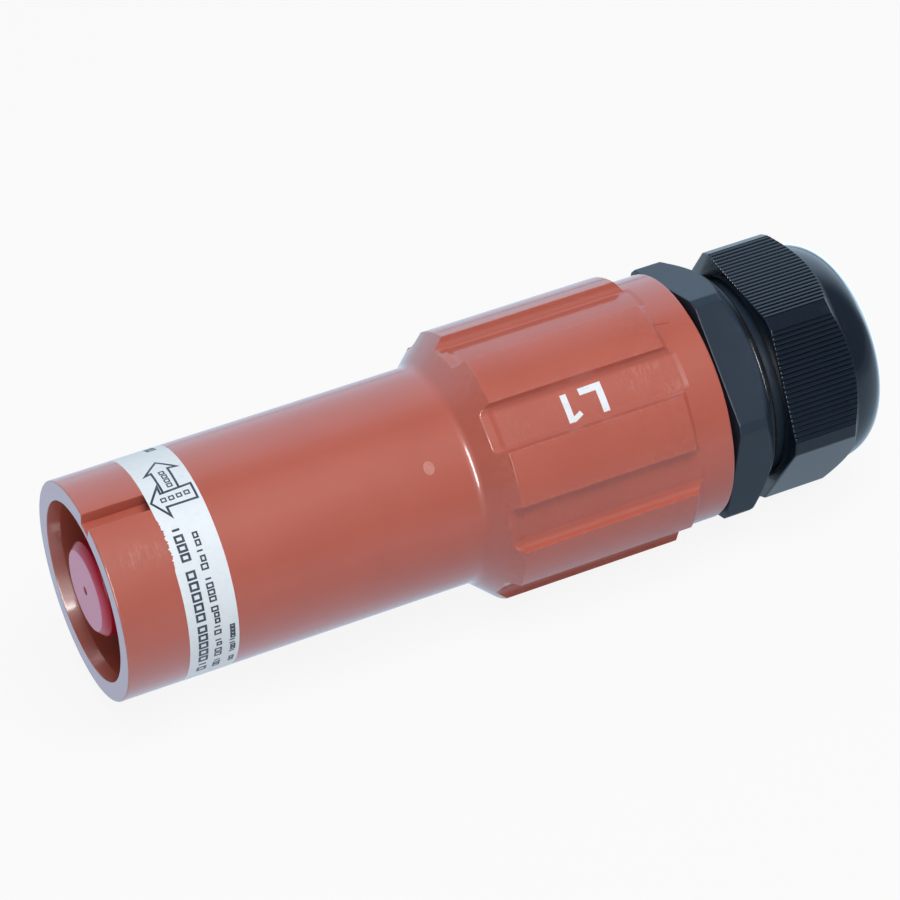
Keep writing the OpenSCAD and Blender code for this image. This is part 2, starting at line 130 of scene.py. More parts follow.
def rounded(corners: Array, radii: list[float | Array]) -> Array:
    """Rounds the corners of closed outlines, many outlines at once.

    At a corner p with unit legs u and w and half angle h between them, the arc of radius f starts
    at p + u t with t = f / tan(h) and is centred on p + (u + w) / |u + w| * f / sin(h). A leg
    shorter than needed makes f smaller. One more point on each leg, SUPPORT outside the arc, keeps
    the shading of the flat beside it.

    Args:
        corners: The outlines, as columns x corners x 2.
        radii: For each corner one radius, or one for each column. A corner with 0 stays as it is.

    Returns:
        The rounded outlines, as columns x points x 2.
    """
    before, before_len = unit(np.roll(corners, 1, axis=1) - corners)
    after, after_len = unit(np.roll(corners, -1, axis=1) - corners)
    half = np.arccos(np.clip((before * after).sum(-1, keepdims=True), -1, 1)) / 2
    bisector, _ = unit(before + after)
    share = np.linspace(0, 1, ARC_STEPS + 1)[:, None]
    points = []
    for k, radius in enumerate(radii):
        p, u, w, h = (a[:, k : k + 1] for a in (corners, before, after, half))
        if np.all(radius == 0):
            points.append(p)
            continue
        radius = np.reshape(radius, (-1, 1, 1))
        room = 0.45 * np.minimum(before_len[:, k : k + 1], after_len[:, k : k + 1])
        reach = np.minimum(radius / np.tan(h), room)
        centre = p + bisector[:, k : k + 1] * reach / np.maximum(np.cos(h), 1e-9)
        start, end = p + u * reach - centre, p + w * reach - centre
        sweep = np.maximum(math.pi - 2 * h, 1e-6)
        arc = np.sin((1 - share) * sweep) * start + np.sin(share * sweep) * end
        outside = reach + np.minimum(SUPPORT, room / 3)
        points += [p + u * outside, centre + arc / np.sin(sweep), p + w * outside]
    return np.concatenate(points, axis=1)


def outlines(corners: list[Corner], turn: Array) -> tuple[Array, Array]:
    """Rounds one closed outline for each turn.

    Args:
        corners: (station, radius, rounding) round the outline, each one value or one for each turn.
        turn: Turns of the columns.

    Returns:
        The stations and radii, each points x columns.
    """
    columns = [np.stack(np.broadcast_arrays(x, r, turn)[:2], -1) for x, r, _ in corners]
    outline = rounded(np.stack(columns, axis=1), [f for _, _, f in corners])
    return outline[..., 0].T, outline[..., 1].T


def spaced(turns: Array, gap: float) -> Array:
    """Sorts turns within one round, and leaves out any that is no further than a gap from the last.

    Args:
        turns: The turns, in any order.
        gap: The smallest gap.

    Returns:
        The turns that stay.
    """
    turns = np.sort(turns % 360)
    return turns[np.concatenate([[True], np.diff(turns) > gap])]


def smooth_min(a: Array, b: Array, width: float) -> Array:
    """The smaller of two values with the crease between them rounded.

    With h = clip(1/2 + (b - a) / (2 width), 0, 1), the value is b (1 - h) + a h - width h (1 - h).

    Args:
        a: First values.
        b: Second values.
        width: Difference of a and b below which they blend.

    Returns:
        The blended values.
    """
    h = np.clip(0.5 + 0.5 * (b - a) / width, 0, 1)
    return b * (1 - h) + a * h - width * h * (1 - h)


def round_axis(station: Array, radius: Array, turn: Array) -> Array:
    """Points in the frame, in metres: (x, -r sin(turn), r cos(turn)).

    Args:
        station: Distances from the rim.
        radius: Distances from the axis.
        turn: Turns about the axis.

    Returns:
        An array with the three coordinates along a last axis.
    """
    station, radius, turn = np.broadcast_arrays(station, radius, np.radians(turn))
    return np.stack([station, -radius * np.sin(turn), radius * np.cos(turn)], axis=-1) * MM


def welded(points: Array, wrap: bool) -> tuple[Array, Array, Array, Array]:
    """Joins a grid of points to a closed skin.

    Point (i, j) is joined to (i + 1, j) and (i, j + 1), with the last row joined to the first and,
    where wrap is set, the last column to the first. Points that fall together are merged, so a
    collapsed row or column closes the skin. The faces are turned outwards where the sum of
    a . (b x c) / 6 over the triangles, the volume, comes out negative.

    Args:
        points: Rows x columns x 3, in metres.
        wrap: Whether the last column joins the first.

    Returns:
        The vertices, the triangles, the quadrilaterals, and each vertex's place in the grid.
    """
    rows, columns = points.shape[:2]
    i = np.arange(rows)[:, None]
    j = np.arange(columns if wrap else columns - 1)[None, :]
    down, right = (i + 1) % rows, (j + 1) % columns
    quads = [i * columns + j, down * columns + j, down * columns + right, i * columns + right]
    flat = points.reshape(-1, 3)
    grid = np.round(flat / WELD).astype(np.int64)
    _, first, place = np.unique(grid, axis=0, return_index=True, return_inverse=True)
    faces = place.reshape(-1)[np.stack(quads, -1).reshape(-1, 4)]
    repeated = faces == np.roll(faces, -1, axis=1)
    folded = (faces[:, 0] == faces[:, 2]) | (faces[:, 1] == faces[:, 3])
    four = faces[(repeated.sum(1) == 0) & ~folded]
    pinched = (repeated.sum(1) == 1) & ~folded
    three = faces[pinched][~repeated[pinched]].reshape(-1, 3)
    vertices = flat[first]
    triangles = np.concatenate([three, four[:, :3], four[:, [0, 2, 3]]])
    a, b, c = (vertices[triangles[:, k]] for k in range(3))
    if (a * np.cross(b, c)).sum() < 0:
        three, four = three[:, ::-1], four[:, ::-1]
    return vertices, three, four, first


def placed(name: str, data: bpy.types.ID) -> bpy.types.Object:
    """Adds an object with this data to the scene.

    Args:
        name: The object's name.
        data: Its mesh, lamp or camera.

    Returns:
        The object.
    """
    piece = bpy.data.objects.new(name, data)
    bpy.context.scene.collection.objects.link(piece)
    return piece


def skin(
    name: str, *grids: Array, wrap: bool = True, fields: dict[Field, Array] | None = None
) -> bpy.types.Object:
    """Makes one mesh of closed skins, each from a grid of points.

    Args:
        name: The piece's name.
        grids: The grids, each rows x columns x 3, in metres.
        wrap: Whether the last column of each joins the first.
        fields: Values for each point of a single grid, rows x columns.

    Returns:
        The new object.
    """
    parts = [welded(points, wrap) for points in grids]
    starts = np.cumsum([0] + [len(part[0]) for part in parts])
    faces = []
    for part, start in zip(parts, starts):
        faces += (part[1] + start).tolist() + (part[2] + start).tolist()
    mesh = bpy.data.meshes.new(name)
    mesh.from_pydata(np.concatenate([part[0] for part in parts]).tolist(), [], faces)
    mesh.shade_smooth()
    mesh.set_sharp_from_angle(angle=math.radians(SHARP_ANGLE))
    for key, values in (fields or {}).items():
        attribute = mesh.attributes.new(key.value, "FLOAT", "POINT")
        attribute.data.foreach_set("value", values.reshape(-1)[parts[0][3]].astype(np.float32))
    mesh.update()
    return placed(name, mesh)


def stroke(path: Path, width: float, radius: float, closed: bool = False) -> Array:
    """Works out a thin printed line that lies on a round surface.

    The path is laid out flat, as station and arc length s = radius * turn. Its sides are mitred: at
    a corner p with unit normals m and n the side lies at p + (m + n) / (1 + m . n) * width / 2.
    Each leg is then cut into short steps and bent back, turn = s / radius. The section is a flat
    rectangle from just under the surface to just above it.

    Args:
        path: Corners as (station, turn from VIEW_TURN).
        width: Width of the line.
        radius: Radius of the surface.
        closed: Whether the line ends where it starts.

    Returns:
        The line's grid of points, whose last column joins the first where it is closed.
    """
    corners = np.array(path, float)
    corners[:, 1] = np.radians(corners[:, 1] + VIEW_TURN) * radius
    ahead, length = unit(np.roll(corners, -1, axis=0) - corners)
    if not closed:
        ahead[-1], length[-1] = ahead[-2], 0
    behind = np.roll(ahead, 1, axis=0)
    if not closed:
        behind[0] = ahead[0]
    n1, n2 = (np.stack([-d[:, 1], d[:, 0]], -1) for d in (behind, ahead))
    shift = (n1 + n2) / (1 + (n1 * n2).sum(-1, keepdims=True)) * width / 2
    sides = np.stack([corners - shift, corners + shift])
    legs = len(corners) if closed else len(corners) - 1
    steps = np.maximum(2, np.ceil(length[:legs, 0] / STROKE_STEP)).astype(int)
    leg = np.repeat(np.arange(legs), steps)
    share = np.concatenate([np.arange(n) / n for n in steps])[None, :, None]
    following = (leg + 1) % len(corners)
    line = sides[:, leg] * (1 - share) + sides[:, following] * share
    if not closed:
        line = np.concatenate([line, sides[:, -1:]], axis=1)
    left, right = line
    flat = np.stack([left, left, right, right])
    height = INK_HEIGHT * np.array([-1, 1, 1, -1])[:, None] * np.ones(flat.shape[1])
    if not closed:
        middle = np.stack([(left + right) / 2] * 4)
        flat = np.concatenate([middle[:, :1], flat, middle[:, -1:]], axis=1)
        height = np.pad(height, ((0, 0), (1, 1)))
    return round_axis(flat[..., 0], radius + height, np.degrees(flat[..., 1] / radius))


def spot(
    station: float, turn: float, size: tuple[float, float], radius: float, height: float
) -> Array:
    """Works out a low oval spot on a round surface.

    With s the way out from its middle and a the angle round it, the point lies length / 2 s cos(a)
    along the axis and width / 2 s sin(a) round it, height (1 - s^2) above the surface.

    Args:
        station: Station of its middle.
        turn: Turn of its middle, from VIEW_TURN.
        size: Its length along the axis and its width round it.
        radius: Radius of the surface.
        height: Its height in the middle.

    Returns:
        The spot's grid of points.
    """
    s = np.array([0.0, 0.35, 0.65, 0.85, 1.0, 0.0])[:, None]
    lift = np.append(height * (1 - s[:-1, 0] ** 2), -0.1)[:, None]
    a = np.radians(np.arange(0, 360, 10.0))[None, :]
    length, width = size
    round_way = np.degrees(width / 2 * s * np.sin(a) / radius)
    along = station + length / 2 * s * np.cos(a)
    return round_axis(along, radius + lift, turn + VIEW_TURN + round_way)


class Value:
    """A shader socket with arithmetic: each operator adds one Math node."""

    def __init__(self, graph: "Graph", socket: bpy.types.NodeSocket) -> None:
        """Wraps a socket of a graph."""
        self.graph = graph
        self.socket = socket

    def _math(self, operation: str, other: "Value | float", swap: bool = False) -> "Value":
        """Adds a Math node.

        Args:
            operation: The node's operation.
            other: The other operand.
            swap: Whether this value is the second operand.

        Returns:
            The result.
        """
        first, second = (other, self) if swap else (self, other)
        settings = {"operation": operation}
        node = self.graph.node("ShaderNodeMath", settings, {0: first, 1: second})
        return Value(self.graph, node.outputs[0])

    def __add__(self, other: "Value | float") -> "Value":
        """self + other."""
        return self._math("ADD", other)

    def __radd__(self, other: float) -> "Value":
        """other + self."""
        return self._math("ADD", other, swap=True)

    def __sub__(self, other: "Value | float") -> "Value":
        """self - other."""
        return self._math("SUBTRACT", other)

    def __rsub__(self, other: float) -> "Value":
        """other - self."""
        return self._math("SUBTRACT", other, swap=True)

    def __mul__(self, other: "Value | float") -> "Value":
        """self * other."""
        return self._math("MULTIPLY", other)

    def __rmul__(self, other: float) -> "Value":
        """other * self."""
        return self._math("MULTIPLY", other, swap=True)

    def between(self, low: float, high: float) -> "Value":
        """Goes from 0 at low to 1 at high, smoothly, and stays there.

        Args:
            low: Where it starts.
            high: Where it ends.

        Returns:
            The result.
        """
        node = self.graph.node(
            "ShaderNodeMapRange",
            {"interpolation_type": "SMOOTHSTEP"},
            {"Value": self, "From Min": low, "From Max": high, "To Min": 0.0, "To Max": 1.0},
        )
        return Value(self.graph, node.outputs["Result"])


class Graph:
    """The node tree of one material or world."""

    def __init__(self, tree: bpy.types.NodeTree) -> None:
        """Starts from an empty tree."""
        tree.nodes.clear()
        self.tree = tree

    def node(
        self,
        kind: str,
        settings: dict[str, object] | None = None,
        sockets: dict[int | str, object] | None = None,
    ) -> bpy.types.Node:
        """Adds a node.

        Args:
            kind: The node's type.
            settings: Properties of the node, set first.
            sockets: For each input, a value, a socket or a Value to link.

        Returns:
            The node.
        """
        node = self.tree.nodes.new(kind)
        for key, setting in (settings or {}).items():
            setattr(node, key, setting)
        for key, value in (sockets or {}).items():
            target = node.inputs[key]
            if isinstance(value, Value):
                self.tree.links.new(value.socket, target)
            elif isinstance(value, bpy.types.NodeSocket):
                self.tree.links.new(value, target)
            elif isinstance(value, tuple) and target.type == "RGBA":
                target.default_value = (*value, 1.0)
            else:
                target.default_value = value
        return node

    def place(self) -> bpy.types.NodeSocket:
        """The Object coordinates, in metres."""
        return self.node("ShaderNodeTexCoord").outputs["Object"]

    def stretched(self, scale: Triple) -> bpy.types.NodeSocket:
        """The Object coordinates, scaled along each axis."""
        sockets = {"Vector": self.place(), "Scale": scale}
        return self.node("ShaderNodeMapping", None, sockets).outputs[0]

    def noise(
        self, vector: bpy.types.NodeSocket, size: float, detail: float = 2.0, rough: float = 0.5
    ) -> Value:
        """Soft noise from 0 to 1.

        Args:
            vector: The coordinates it reads.
            size: Size of its largest blots, in millimetres.
            detail: Number of finer layers.
            rough: Strength of the finer layers.

        Returns:
            The noise.
        """
        sockets = {"Vector": vector, "Scale": 1 / (size * MM), "Detail": detail, "Roughness": rough}
        return Value(self, self.node("ShaderNodeTexNoise", None, sockets).outputs["Fac"])

    def carried(self, key: Field) -> Value:
        """A value that the skin carries at its points."""
        node = self.node("ShaderNodeAttribute", {"attribute_name": key.value})
        return Value(self, node.outputs["Fac"])

    def mix(self, a: object, b: object, factor: object) -> bpy.types.NodeSocket:
        """The colour a, going to b as factor goes from 0 to 1."""
        settings = {"data_type": "RGBA", "clamp_factor": True}
        return self.node("ShaderNodeMix", settings, {0: factor, 6: a, 7: b}).outputs[2]

    def bump(self, height: Value, distance: float) -> bpy.types.NodeSocket:
        """A normal from a height of 0 to 1 that stands for a distance in millimetres."""
        sockets = {"Height": height, "Distance": distance * MM, "Strength": 1.0}
        return self.node("ShaderNodeBump", None, sockets).outputs[0]

    def surface(self, kind: str, sockets: dict[int | str, object]) -> None:
        """Adds the shader that the output shows."""
        shader = self.node(kind, None, sockets)
        self.node("ShaderNodeOutputMaterial", None, {"Surface": shader.outputs[0]})


def new_material(name: str) -> tuple[bpy.types.Material, Graph]:
    """Adds a material without any nodes.

    Args:
        name: The material's name.

    Returns:
        The material and its graph.
    """
    material = bpy.data.materials.new(name)
    material.use_nodes = True
    return material, Graph(material.node_tree)


@dataclass(frozen=True)
class Finish:
    """A finish: its name, its colour, and a second colour that it has in places."""

    name: str
    colour: Colour
    second: Colour

    def sockets(self, g: Graph, place: bpy.types.NodeSocket) -> dict[int | str, object]:
        """What feeds the principled shader, worked out by each kind of finish.

        Args:
            g: The material's graph.
            place: The Object coordinates.

        Returns:
            For each of the shader's sockets, a value or a link.
        """
        raise NotImplementedError

    def material(self) -> bpy.types.Material:
        """The finish's material, which is built once and shared by the pieces that have it.

        Returns:
            The material.
        """
        material = bpy.data.materials.get(self.name)
        if material is None:
            material, g = new_material(self.name)
            g.surface("ShaderNodeBsdfPrincipled", self.sockets(g, g.place()))
        return material


@dataclass(frozen=True)
class MouldedPlastic(Finish):
    """Moulded plastic: soft clouds of colour, fine grain, rubbed edges, scuffs, and a painted
    reflection where the skin marks it.
    """

    worn: Colour | None = None
    # cut: colour of a painted reflection, mixed in where the skin carries its mask
    cut: Colour | None = None
    roughness: float = 0.36
    gloss_swing: float = 0.06
    cloud_size: float = 16.0
    blot_size: float = 1.6
    grain_size: float = 0.3
    grain_height: float = 0.004
    grain_gain: float = 6.0
    streak_size: float = 0.3
    patch_size: float = 7.0
    wear: float = 0.0
    scuff: float = 0.0
    specular: float = 0.5
    coat: float = 0.0
    coat_roughness: float = 0.12

    def sockets(self, g: Graph, place: bpy.types.NodeSocket) -> dict[int | str, object]:
        """Works out colour, gloss and relief.

        The base colour is colour -> second by slow noise -> cut, a painted reflection, where the
        skin says so -> worn by fine streaks across the axis where the skin is scuffed, in patches,
        and by rubbed edges broken up with noise. The moulded grain is deeper, and the gloss
        stronger, where the skin says so.

        Args:
            g: The material's graph.
            place: The Object coordinates.

        Returns:
            For each of the shader's sockets, a value or a link.
        """
        clouds = g.noise(place, self.cloud_size, 3.0).between(0.3, 0.75)
        blots = g.noise(place, self.blot_size, 4.0, 0.6)
        fine = g.noise(place, self.grain_size)
        tone = g.mix(self.colour, self.second, clouds)
        height = fine * 0.6 + g.noise(place, self.grain_size * 4, 1.0) * 0.4
        rough = blots * self.gloss_swing + (self.roughness - self.gloss_swing / 2)
        if self.cut:
            # painted reflection: the cut colour stands in for pale grazing reflections
            tone = g.mix(tone, self.cut, g.carried(Field.PAINTED_REFLECTION))
        if self.scuff:
            drawn_out = g.stretched((1.0, 0.14, 0.14))
            streaks = g.noise(drawn_out, self.streak_size, 3.0, 0.65).between(0.44, 0.64)
            patches = g.noise(place, self.patch_size, 3.0, 0.65).between(0.35, 0.62)
            across = streaks * patches * g.carried(Field.SCUFF)
            tone = g.mix(tone, self.worn, across * self.scuff)
            height = height + across * 0.5 + (fine - 0.5) * g.carried(Field.GRAIN) * self.grain_gain
            rough = rough + across * 0.06
        if self.wear:
            rubbed = g.carried(Field.EDGE) * blots.between(0.42, 0.62)
            tone = g.mix(tone, self.worn, rubbed * self.wear)
        return {
            "Base Color": tone,
            "Roughness": rough,
            "Normal": g.bump(height, self.grain_height),
            "IOR": 1.5,
            "Specular IOR Level": self.specular,
            "Coat Weight": g.carried(Field.GLOSS) * self.coat if self.coat else 0.0,
            "Coat Roughness": self.coat_roughness,
        }


@dataclass(frozen=True)
class PlatedMetal(Finish):
    """Turned metal: rings of fine tool marks, and a little tarnish, which is the second colour."""

    roughness: float = 0.28
    lathe: float = 0.004
    mark_size: float = 0.25
    stain_size: float = 6.0
    tarnish: float = 0.6

    def sockets(self, g: Graph, place: bpy.types.NodeSocket) -> dict[int | str, object]:
        """Works out colour, gloss and relief: noise drawn out round the axis gives the tool marks.

        Args:
            g: The material's graph.
            place: The Object coordinates.

        Returns:
            For each of the shader's sockets, a value or a link.
        """
        marks = g.noise(g.stretched((1.0, 0.02, 0.02)), self.mark_size)
        stain = g.noise(place, self.stain_size, 4.0).between(0.45, 0.8)
        return {
            "Base Color": g.mix(self.colour, self.second, stain * self.tarnish),
            "Metallic": 1.0,
            "Roughness": marks * 0.1 + stain * 0.12 + (self.roughness - 0.05),
            "Normal": g.bump(marks, self.lathe),
        }


@dataclass(frozen=True)
class SealRubber(Finish):
    """Moulded rubber: dull, with a dusty bloom in places, which is the second colour."""

    roughness: float = 0.6
    dust_size: float = 4.0
    bloom: float = 0.5
    grain_size: float = 0.3
    grain_height: float = 0.01

    def sockets(self, g: Graph, place: bpy.types.NodeSocket) -> dict[int | str, object]:
        """Works out colour, gloss and relief: bloom by slow noise, over a fine grain.

        Args:
            g: The material's graph.
            place: The Object coordinates.

        Returns:
            For each of the shader's sockets, a value or a link.
        """
        dust = g.noise(place, self.dust_size, 5.0, 0.6).between(0.45, 0.8)
        return {
            "Base Color": g.mix(self.colour, self.second, dust * self.bloom),
            "Roughness": dust * 0.15 + self.roughness,
            "Normal": g.bump(g.noise(place, self.grain_size), self.grain_height),
        }


@dataclass(frozen=True)
class PrintedInk(Finish):
    """Printed ink or foil: thin and smooth, with the second colour where its cover is thin."""

    roughness: float = 0.35
    wrinkle: float = 0.0
    wrinkle_size: float = 5.0
    cover_size: float = 1.2
    grain_size: float = 0.25
    grain_height: float = 0.004

    def sockets(self, g: Graph, place: bpy.types.NodeSocket) -> dict[int | str, object]:
        """Works out colour, gloss and relief: cover varies, and a foil may have soft wrinkles.

        Args:
            g: The material's graph.
            place: The Object coordinates.

        Returns:
            For each of the shader's sockets, a value or a link.
        """
        cover = g.noise(place, self.cover_size, 4.0, 0.65).between(0.4, 0.75)
        wrinkles = g.noise(place, self.wrinkle_size) * self.wrinkle
        height = wrinkles + g.noise(place, self.grain_size, 1.0) * self.grain_height
        return {
            "Base Color": g.mix(self.colour, self.second, cover),
            "Roughness": cover * 0.1 + self.roughness,
            "Normal": g.bump(height, 1.0),
        }


@dataclass(frozen=True)
class Finishes:
    """The finishes of all pieces."""

    shell: Finish = MouldedPlastic(
        "shell plastic",
        (0.482, 0.108, 0.071),
        (0.458, 0.099, 0.064),
        worn=(0.68, 0.40, 0.36),
        # cut: painted reflection, the pale lilac of grazing light on the rim's face
        cut=(0.47, 0.235, 0.34),
        roughness=0.4,
        wear=0.06,
        scuff=0.5,
        coat=1.0,
    )
    gland: Finish = MouldedPlastic(
        "gland plastic",
        (0.013, 0.026, 0.046),
        (0.017, 0.031, 0.052),
        worn=(0.06, 0.08, 0.11),
        roughness=0.42,
        wear=0.2,
    )
    nut: Finish = MouldedPlastic(
        "nut plastic",
        (0.005, 0.011, 0.021),
        (0.007, 0.013, 0.024),
        worn=(0.05, 0.06, 0.075),
        roughness=0.25,
        gloss_swing=0.04,
        grain_height=0.002,
        wear=0.2,
        coat=1.0,
        coat_roughness=0.06,
    )
    tip: Finish = MouldedPlastic(
        "tip plastic",
        (0.56, 0.014, 0.042),
        (0.52, 0.012, 0.036),
        # cut: painted reflection, the pale lilac of the tip's face and the pink of its bevel
        cut=(0.84, 0.32, 0.50),
        roughness=0.3,
        specular=0.25,
    )
    ivory: Finish = MouldedPlastic("ivory plastic", (0.72, 0.68, 0.58), (0.66, 0.61, 0.5))
    label: Finish = PrintedInk(
        "label foil", (0.79, 0.86, 0.92), (0.75, 0.82, 0.89), roughness=0.3, wrinkle=0.03
    )
    dark_ink: Finish = PrintedInk("dark ink", (0.035, 0.045, 0.075), (0.08, 0.10, 0.15))
    white_ink: Finish = PrintedInk(
        "white ink", (0.80, 0.86, 0.92), (0.72, 0.76, 0.82), roughness=0.5
    )
    # painted highlight: the pale colour of the rubbed spot stands in for its highlight
    painted_highlight: Finish = PrintedInk(
        "painted highlight", (0.54, 0.21, 0.17), (0.50, 0.16, 0.12), roughness=0.45
    )
    silver: Finish = PlatedMetal("silver plate", (0.80, 0.80, 0.78), (0.52, 0.50, 0.46))
    steel: Finish = PlatedMetal(
        "zinc plated steel", (0.55, 0.56, 0.58), (0.38, 0.38, 0.40), roughness=0.35
    )
    rubber: Finish = SealRubber("seal rubber", (0.014, 0.015, 0.018), (0.05, 0.052, 0.055))
    ring: Finish = SealRubber(
        "ring rubber", (0.010, 0.012, 0.016), (0.02, 0.022, 0.026), roughness=0.22
    )


FINISH = Finishes()


def dress(piece: bpy.types.Object, finish: Finish, slot: Slot, *nodes: str) -> bpy.types.Object:
    """Gives a piece its material and body, and hides the solids it stands for.

    Args:
        piece: The piece.
        finish: Its finish.
        slot: The record's material slot; not used.
        nodes: The CAD nodes that the piece replaces.

    Returns:
        The piece.
    """
    piece.data.materials.append(finish.material())
    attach(piece, BODY)
    if nodes:
        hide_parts(*nodes)
    LOG.info("%s: %d faces, %s", piece.name, len(piece.data.polygons), finish.name)
    return piece


@dataclass
class GripSection:
    """The grip seen along the axis: panels with drafted sides over round channel floors."""

    count: int = 8
    panel_r: float = 31.0
    panel_w: float = 12.6
    draft: float = 5.0
    foot: float = 2.1
    edge: float = 0.22

    def __post_init__(self) -> None:
        """Works out the wall: its plane is n . p = wall, with n turned by slant + 90 degrees."""
        self.half_pitch = 180 / self.count
        self.top_turn = self.half_pitch - math.degrees(math.asin(self.panel_w / 2 / self.panel_r))
        slant = math.radians(self.half_pitch - self.draft)
        self.along = np.array([math.cos(slant), math.sin(slant)])
        self.across = np.array([-math.sin(slant), math.cos(slant)])
        top = math.radians(self.top_turn)
        self.wall = self.panel_r * float(self.across @ np.array([math.cos(top), math.sin(top)]))
        self.edge_centre = self._centre(self.wall + self.edge, self.panel_r - self.edge)

    def _centre(self, offset: float, radius: float) -> Array:
        """The point at a distance from the wall's parallel through the axis, and at a radius."""
        return self.across * offset + self.along * math.sqrt(radius**2 - offset**2)

    def _turn_of(self, point: Array) -> float:
        """The turn of a point of the section."""
        return math.degrees(math.atan2(point[1], point[0]))

    def local(self, turn: Array) -> Array:
        """Turns from the middle of the nearest channel; channels are centred on whole pitches."""
        return np.abs((turn + self.half_pitch) % (2 * self.half_pitch) - self.half_pitch)

    def radius(self, turn: Array, floor: float) -> Array:
        """Radius of the section, for a channel floor at a given radius.

        With e the direction of the turn, a circle round c with radius f is met at
        c . e -/+ sqrt(f^2 - |c|^2 + (c . e)^2): the near side is the foot fillet and the far side
        the rounded top edge. The wall is met at wall / (n . e).

        Args:
            turn: Turns about the axis.
            floor: Radius of the channel's floor.

        Returns:
            The radii.
        """
        local = self.local(turn)
        e = np.stack([np.cos(np.radians(local)), np.sin(np.radians(local))], -1)
        foot_centre = self._centre(self.wall - self.foot, floor + self.foot)

        def met(centre: Array, size: float, side: float) -> Array:
            """Where the ray meets a circle, on the near (-1) or far (+1) side."""
            ahead = e @ centre
            return ahead + side * np.sqrt(np.maximum(size**2 - centre @ centre + ahead**2, 0))

        n_e = e @ self.across
        wall = self.wall / np.where(np.abs(n_e) < 1e-6, -1e-6, n_e)
        foot, edge = self.across * self.foot, self.across * self.edge
        joints = [foot_centre, foot_centre + foot, self.edge_centre - edge, self.edge_centre]
        zone = np.searchsorted([self._turn_of(joint) for joint in joints], local)
        fillet, brim = met(foot_centre, self.foot, -1), met(self.edge_centre, self.edge, 1)
        pieces = [floor, fillet, wall, brim, self.panel_r]
        return np.choose(zone, [np.broadcast_to(p, local.shape) for p in pieces])

    def turns(self, floor: float) -> Array:
        """Turns at which the section is cut, close together round its fillets and edges.

        Args:
            floor: Radius of the channel's floor.

        Returns:
            The turns of one whole round.
        """
        foot_centre = self._centre(self.wall - self.foot, floor + self.foot)
        start = self._turn_of(foot_centre)
        angles = np.radians(np.linspace(90 + self.half_pitch - self.draft, 180 + start, 9))
        fillet = foot_centre + self.foot * np.stack([np.cos(angles), np.sin(angles)], -1)
        first, last = self.half_pitch - self.draft - 90, self._turn_of(self.edge_centre)
        angles = np.radians(np.linspace(first, last, 7))
        top = self.edge_centre + self.edge * np.stack([np.cos(angles), np.sin(angles)], -1)
        curved = np.degrees(np.arctan2(*np.concatenate([fillet, top]).T[::-1]))
        floor_turns = np.linspace(0, start - 0.25, 5)
        panel_turns = np.linspace(last + 0.25, self.half_pitch, 6)
        half = np.concatenate([floor_turns, np.sort(curved), panel_turns])
        one = np.unique(np.round(np.concatenate([-half, half]), 5))[:-1]
        pitch = 2 * self.half_pitch
        return (one[None, :] + pitch * np.arange(self.count)[:, None]).reshape(-1)


@dataclass
class BayonetSlot:
    """The slot in the tube: a leg in from the rim, and a leg round to lock, under the label.

    first is the turn of its first wall. width and lock are the sweeps of the two legs, and the
    second leg lies between the stations lock_start and reach.
    """

    tube_r: float = 25.0
    floor_r: float = 22.0
    first: float = 16.5
    width: float = 9.637
    lock: float = 24.0
    lock_start: float = 14.4
    reach: float = 18.6
    edge: float = 0.25

    def _sunk(self, turn: Array, sweep: float) -> Array:
        """Radius of the tube, sunk to the slot's floor over a sweep from the slot's first wall.

        With d the distance outside the slot, the rounded edge is r - e + sqrt(e^2 - (e - d)^2).

        Args:
            turn: Turns about the axis.
            sweep: How far the slot reaches round.

        Returns:
            The radii.
        """
        local = (turn - self.first) % 360
        outside = np.minimum(360 - local, np.maximum(local - sweep, 0))
        outside = np.radians(outside) * self.tube_r
        inside = local <= sweep
        near = np.clip(outside, 0, self.edge)
        brim = self.tube_r - self.edge + np.sqrt(self.edge**2 - (self.edge - near) ** 2)
        return np.where(inside, self.floor_r, brim)

    def entry(self, turn: Array) -> Array:
        """Radius in front of the locking leg."""
        return self._sunk(turn, self.width)

    def locking(self, turn: Array) -> Array:
        """Radius along the locking leg."""
        return self._sunk(turn, self.width + self.lock)

    def turns(self) -> Array:
        """Turns at which the slot's walls are cut: one inside each, and some over its edge.

        Returns:
            The turns.
        """
        out = self.edge * (1 - np.cos(np.radians(np.linspace(0, 90, 5))))
        out = np.concatenate([[-0.02], out + 1e-4, [self.edge + SUPPORT]])
        out = np.degrees(out / self.tube_r)
        second = self.first + self.width
        return np.concatenate([self.first - out, second + out, second + self.lock + out])


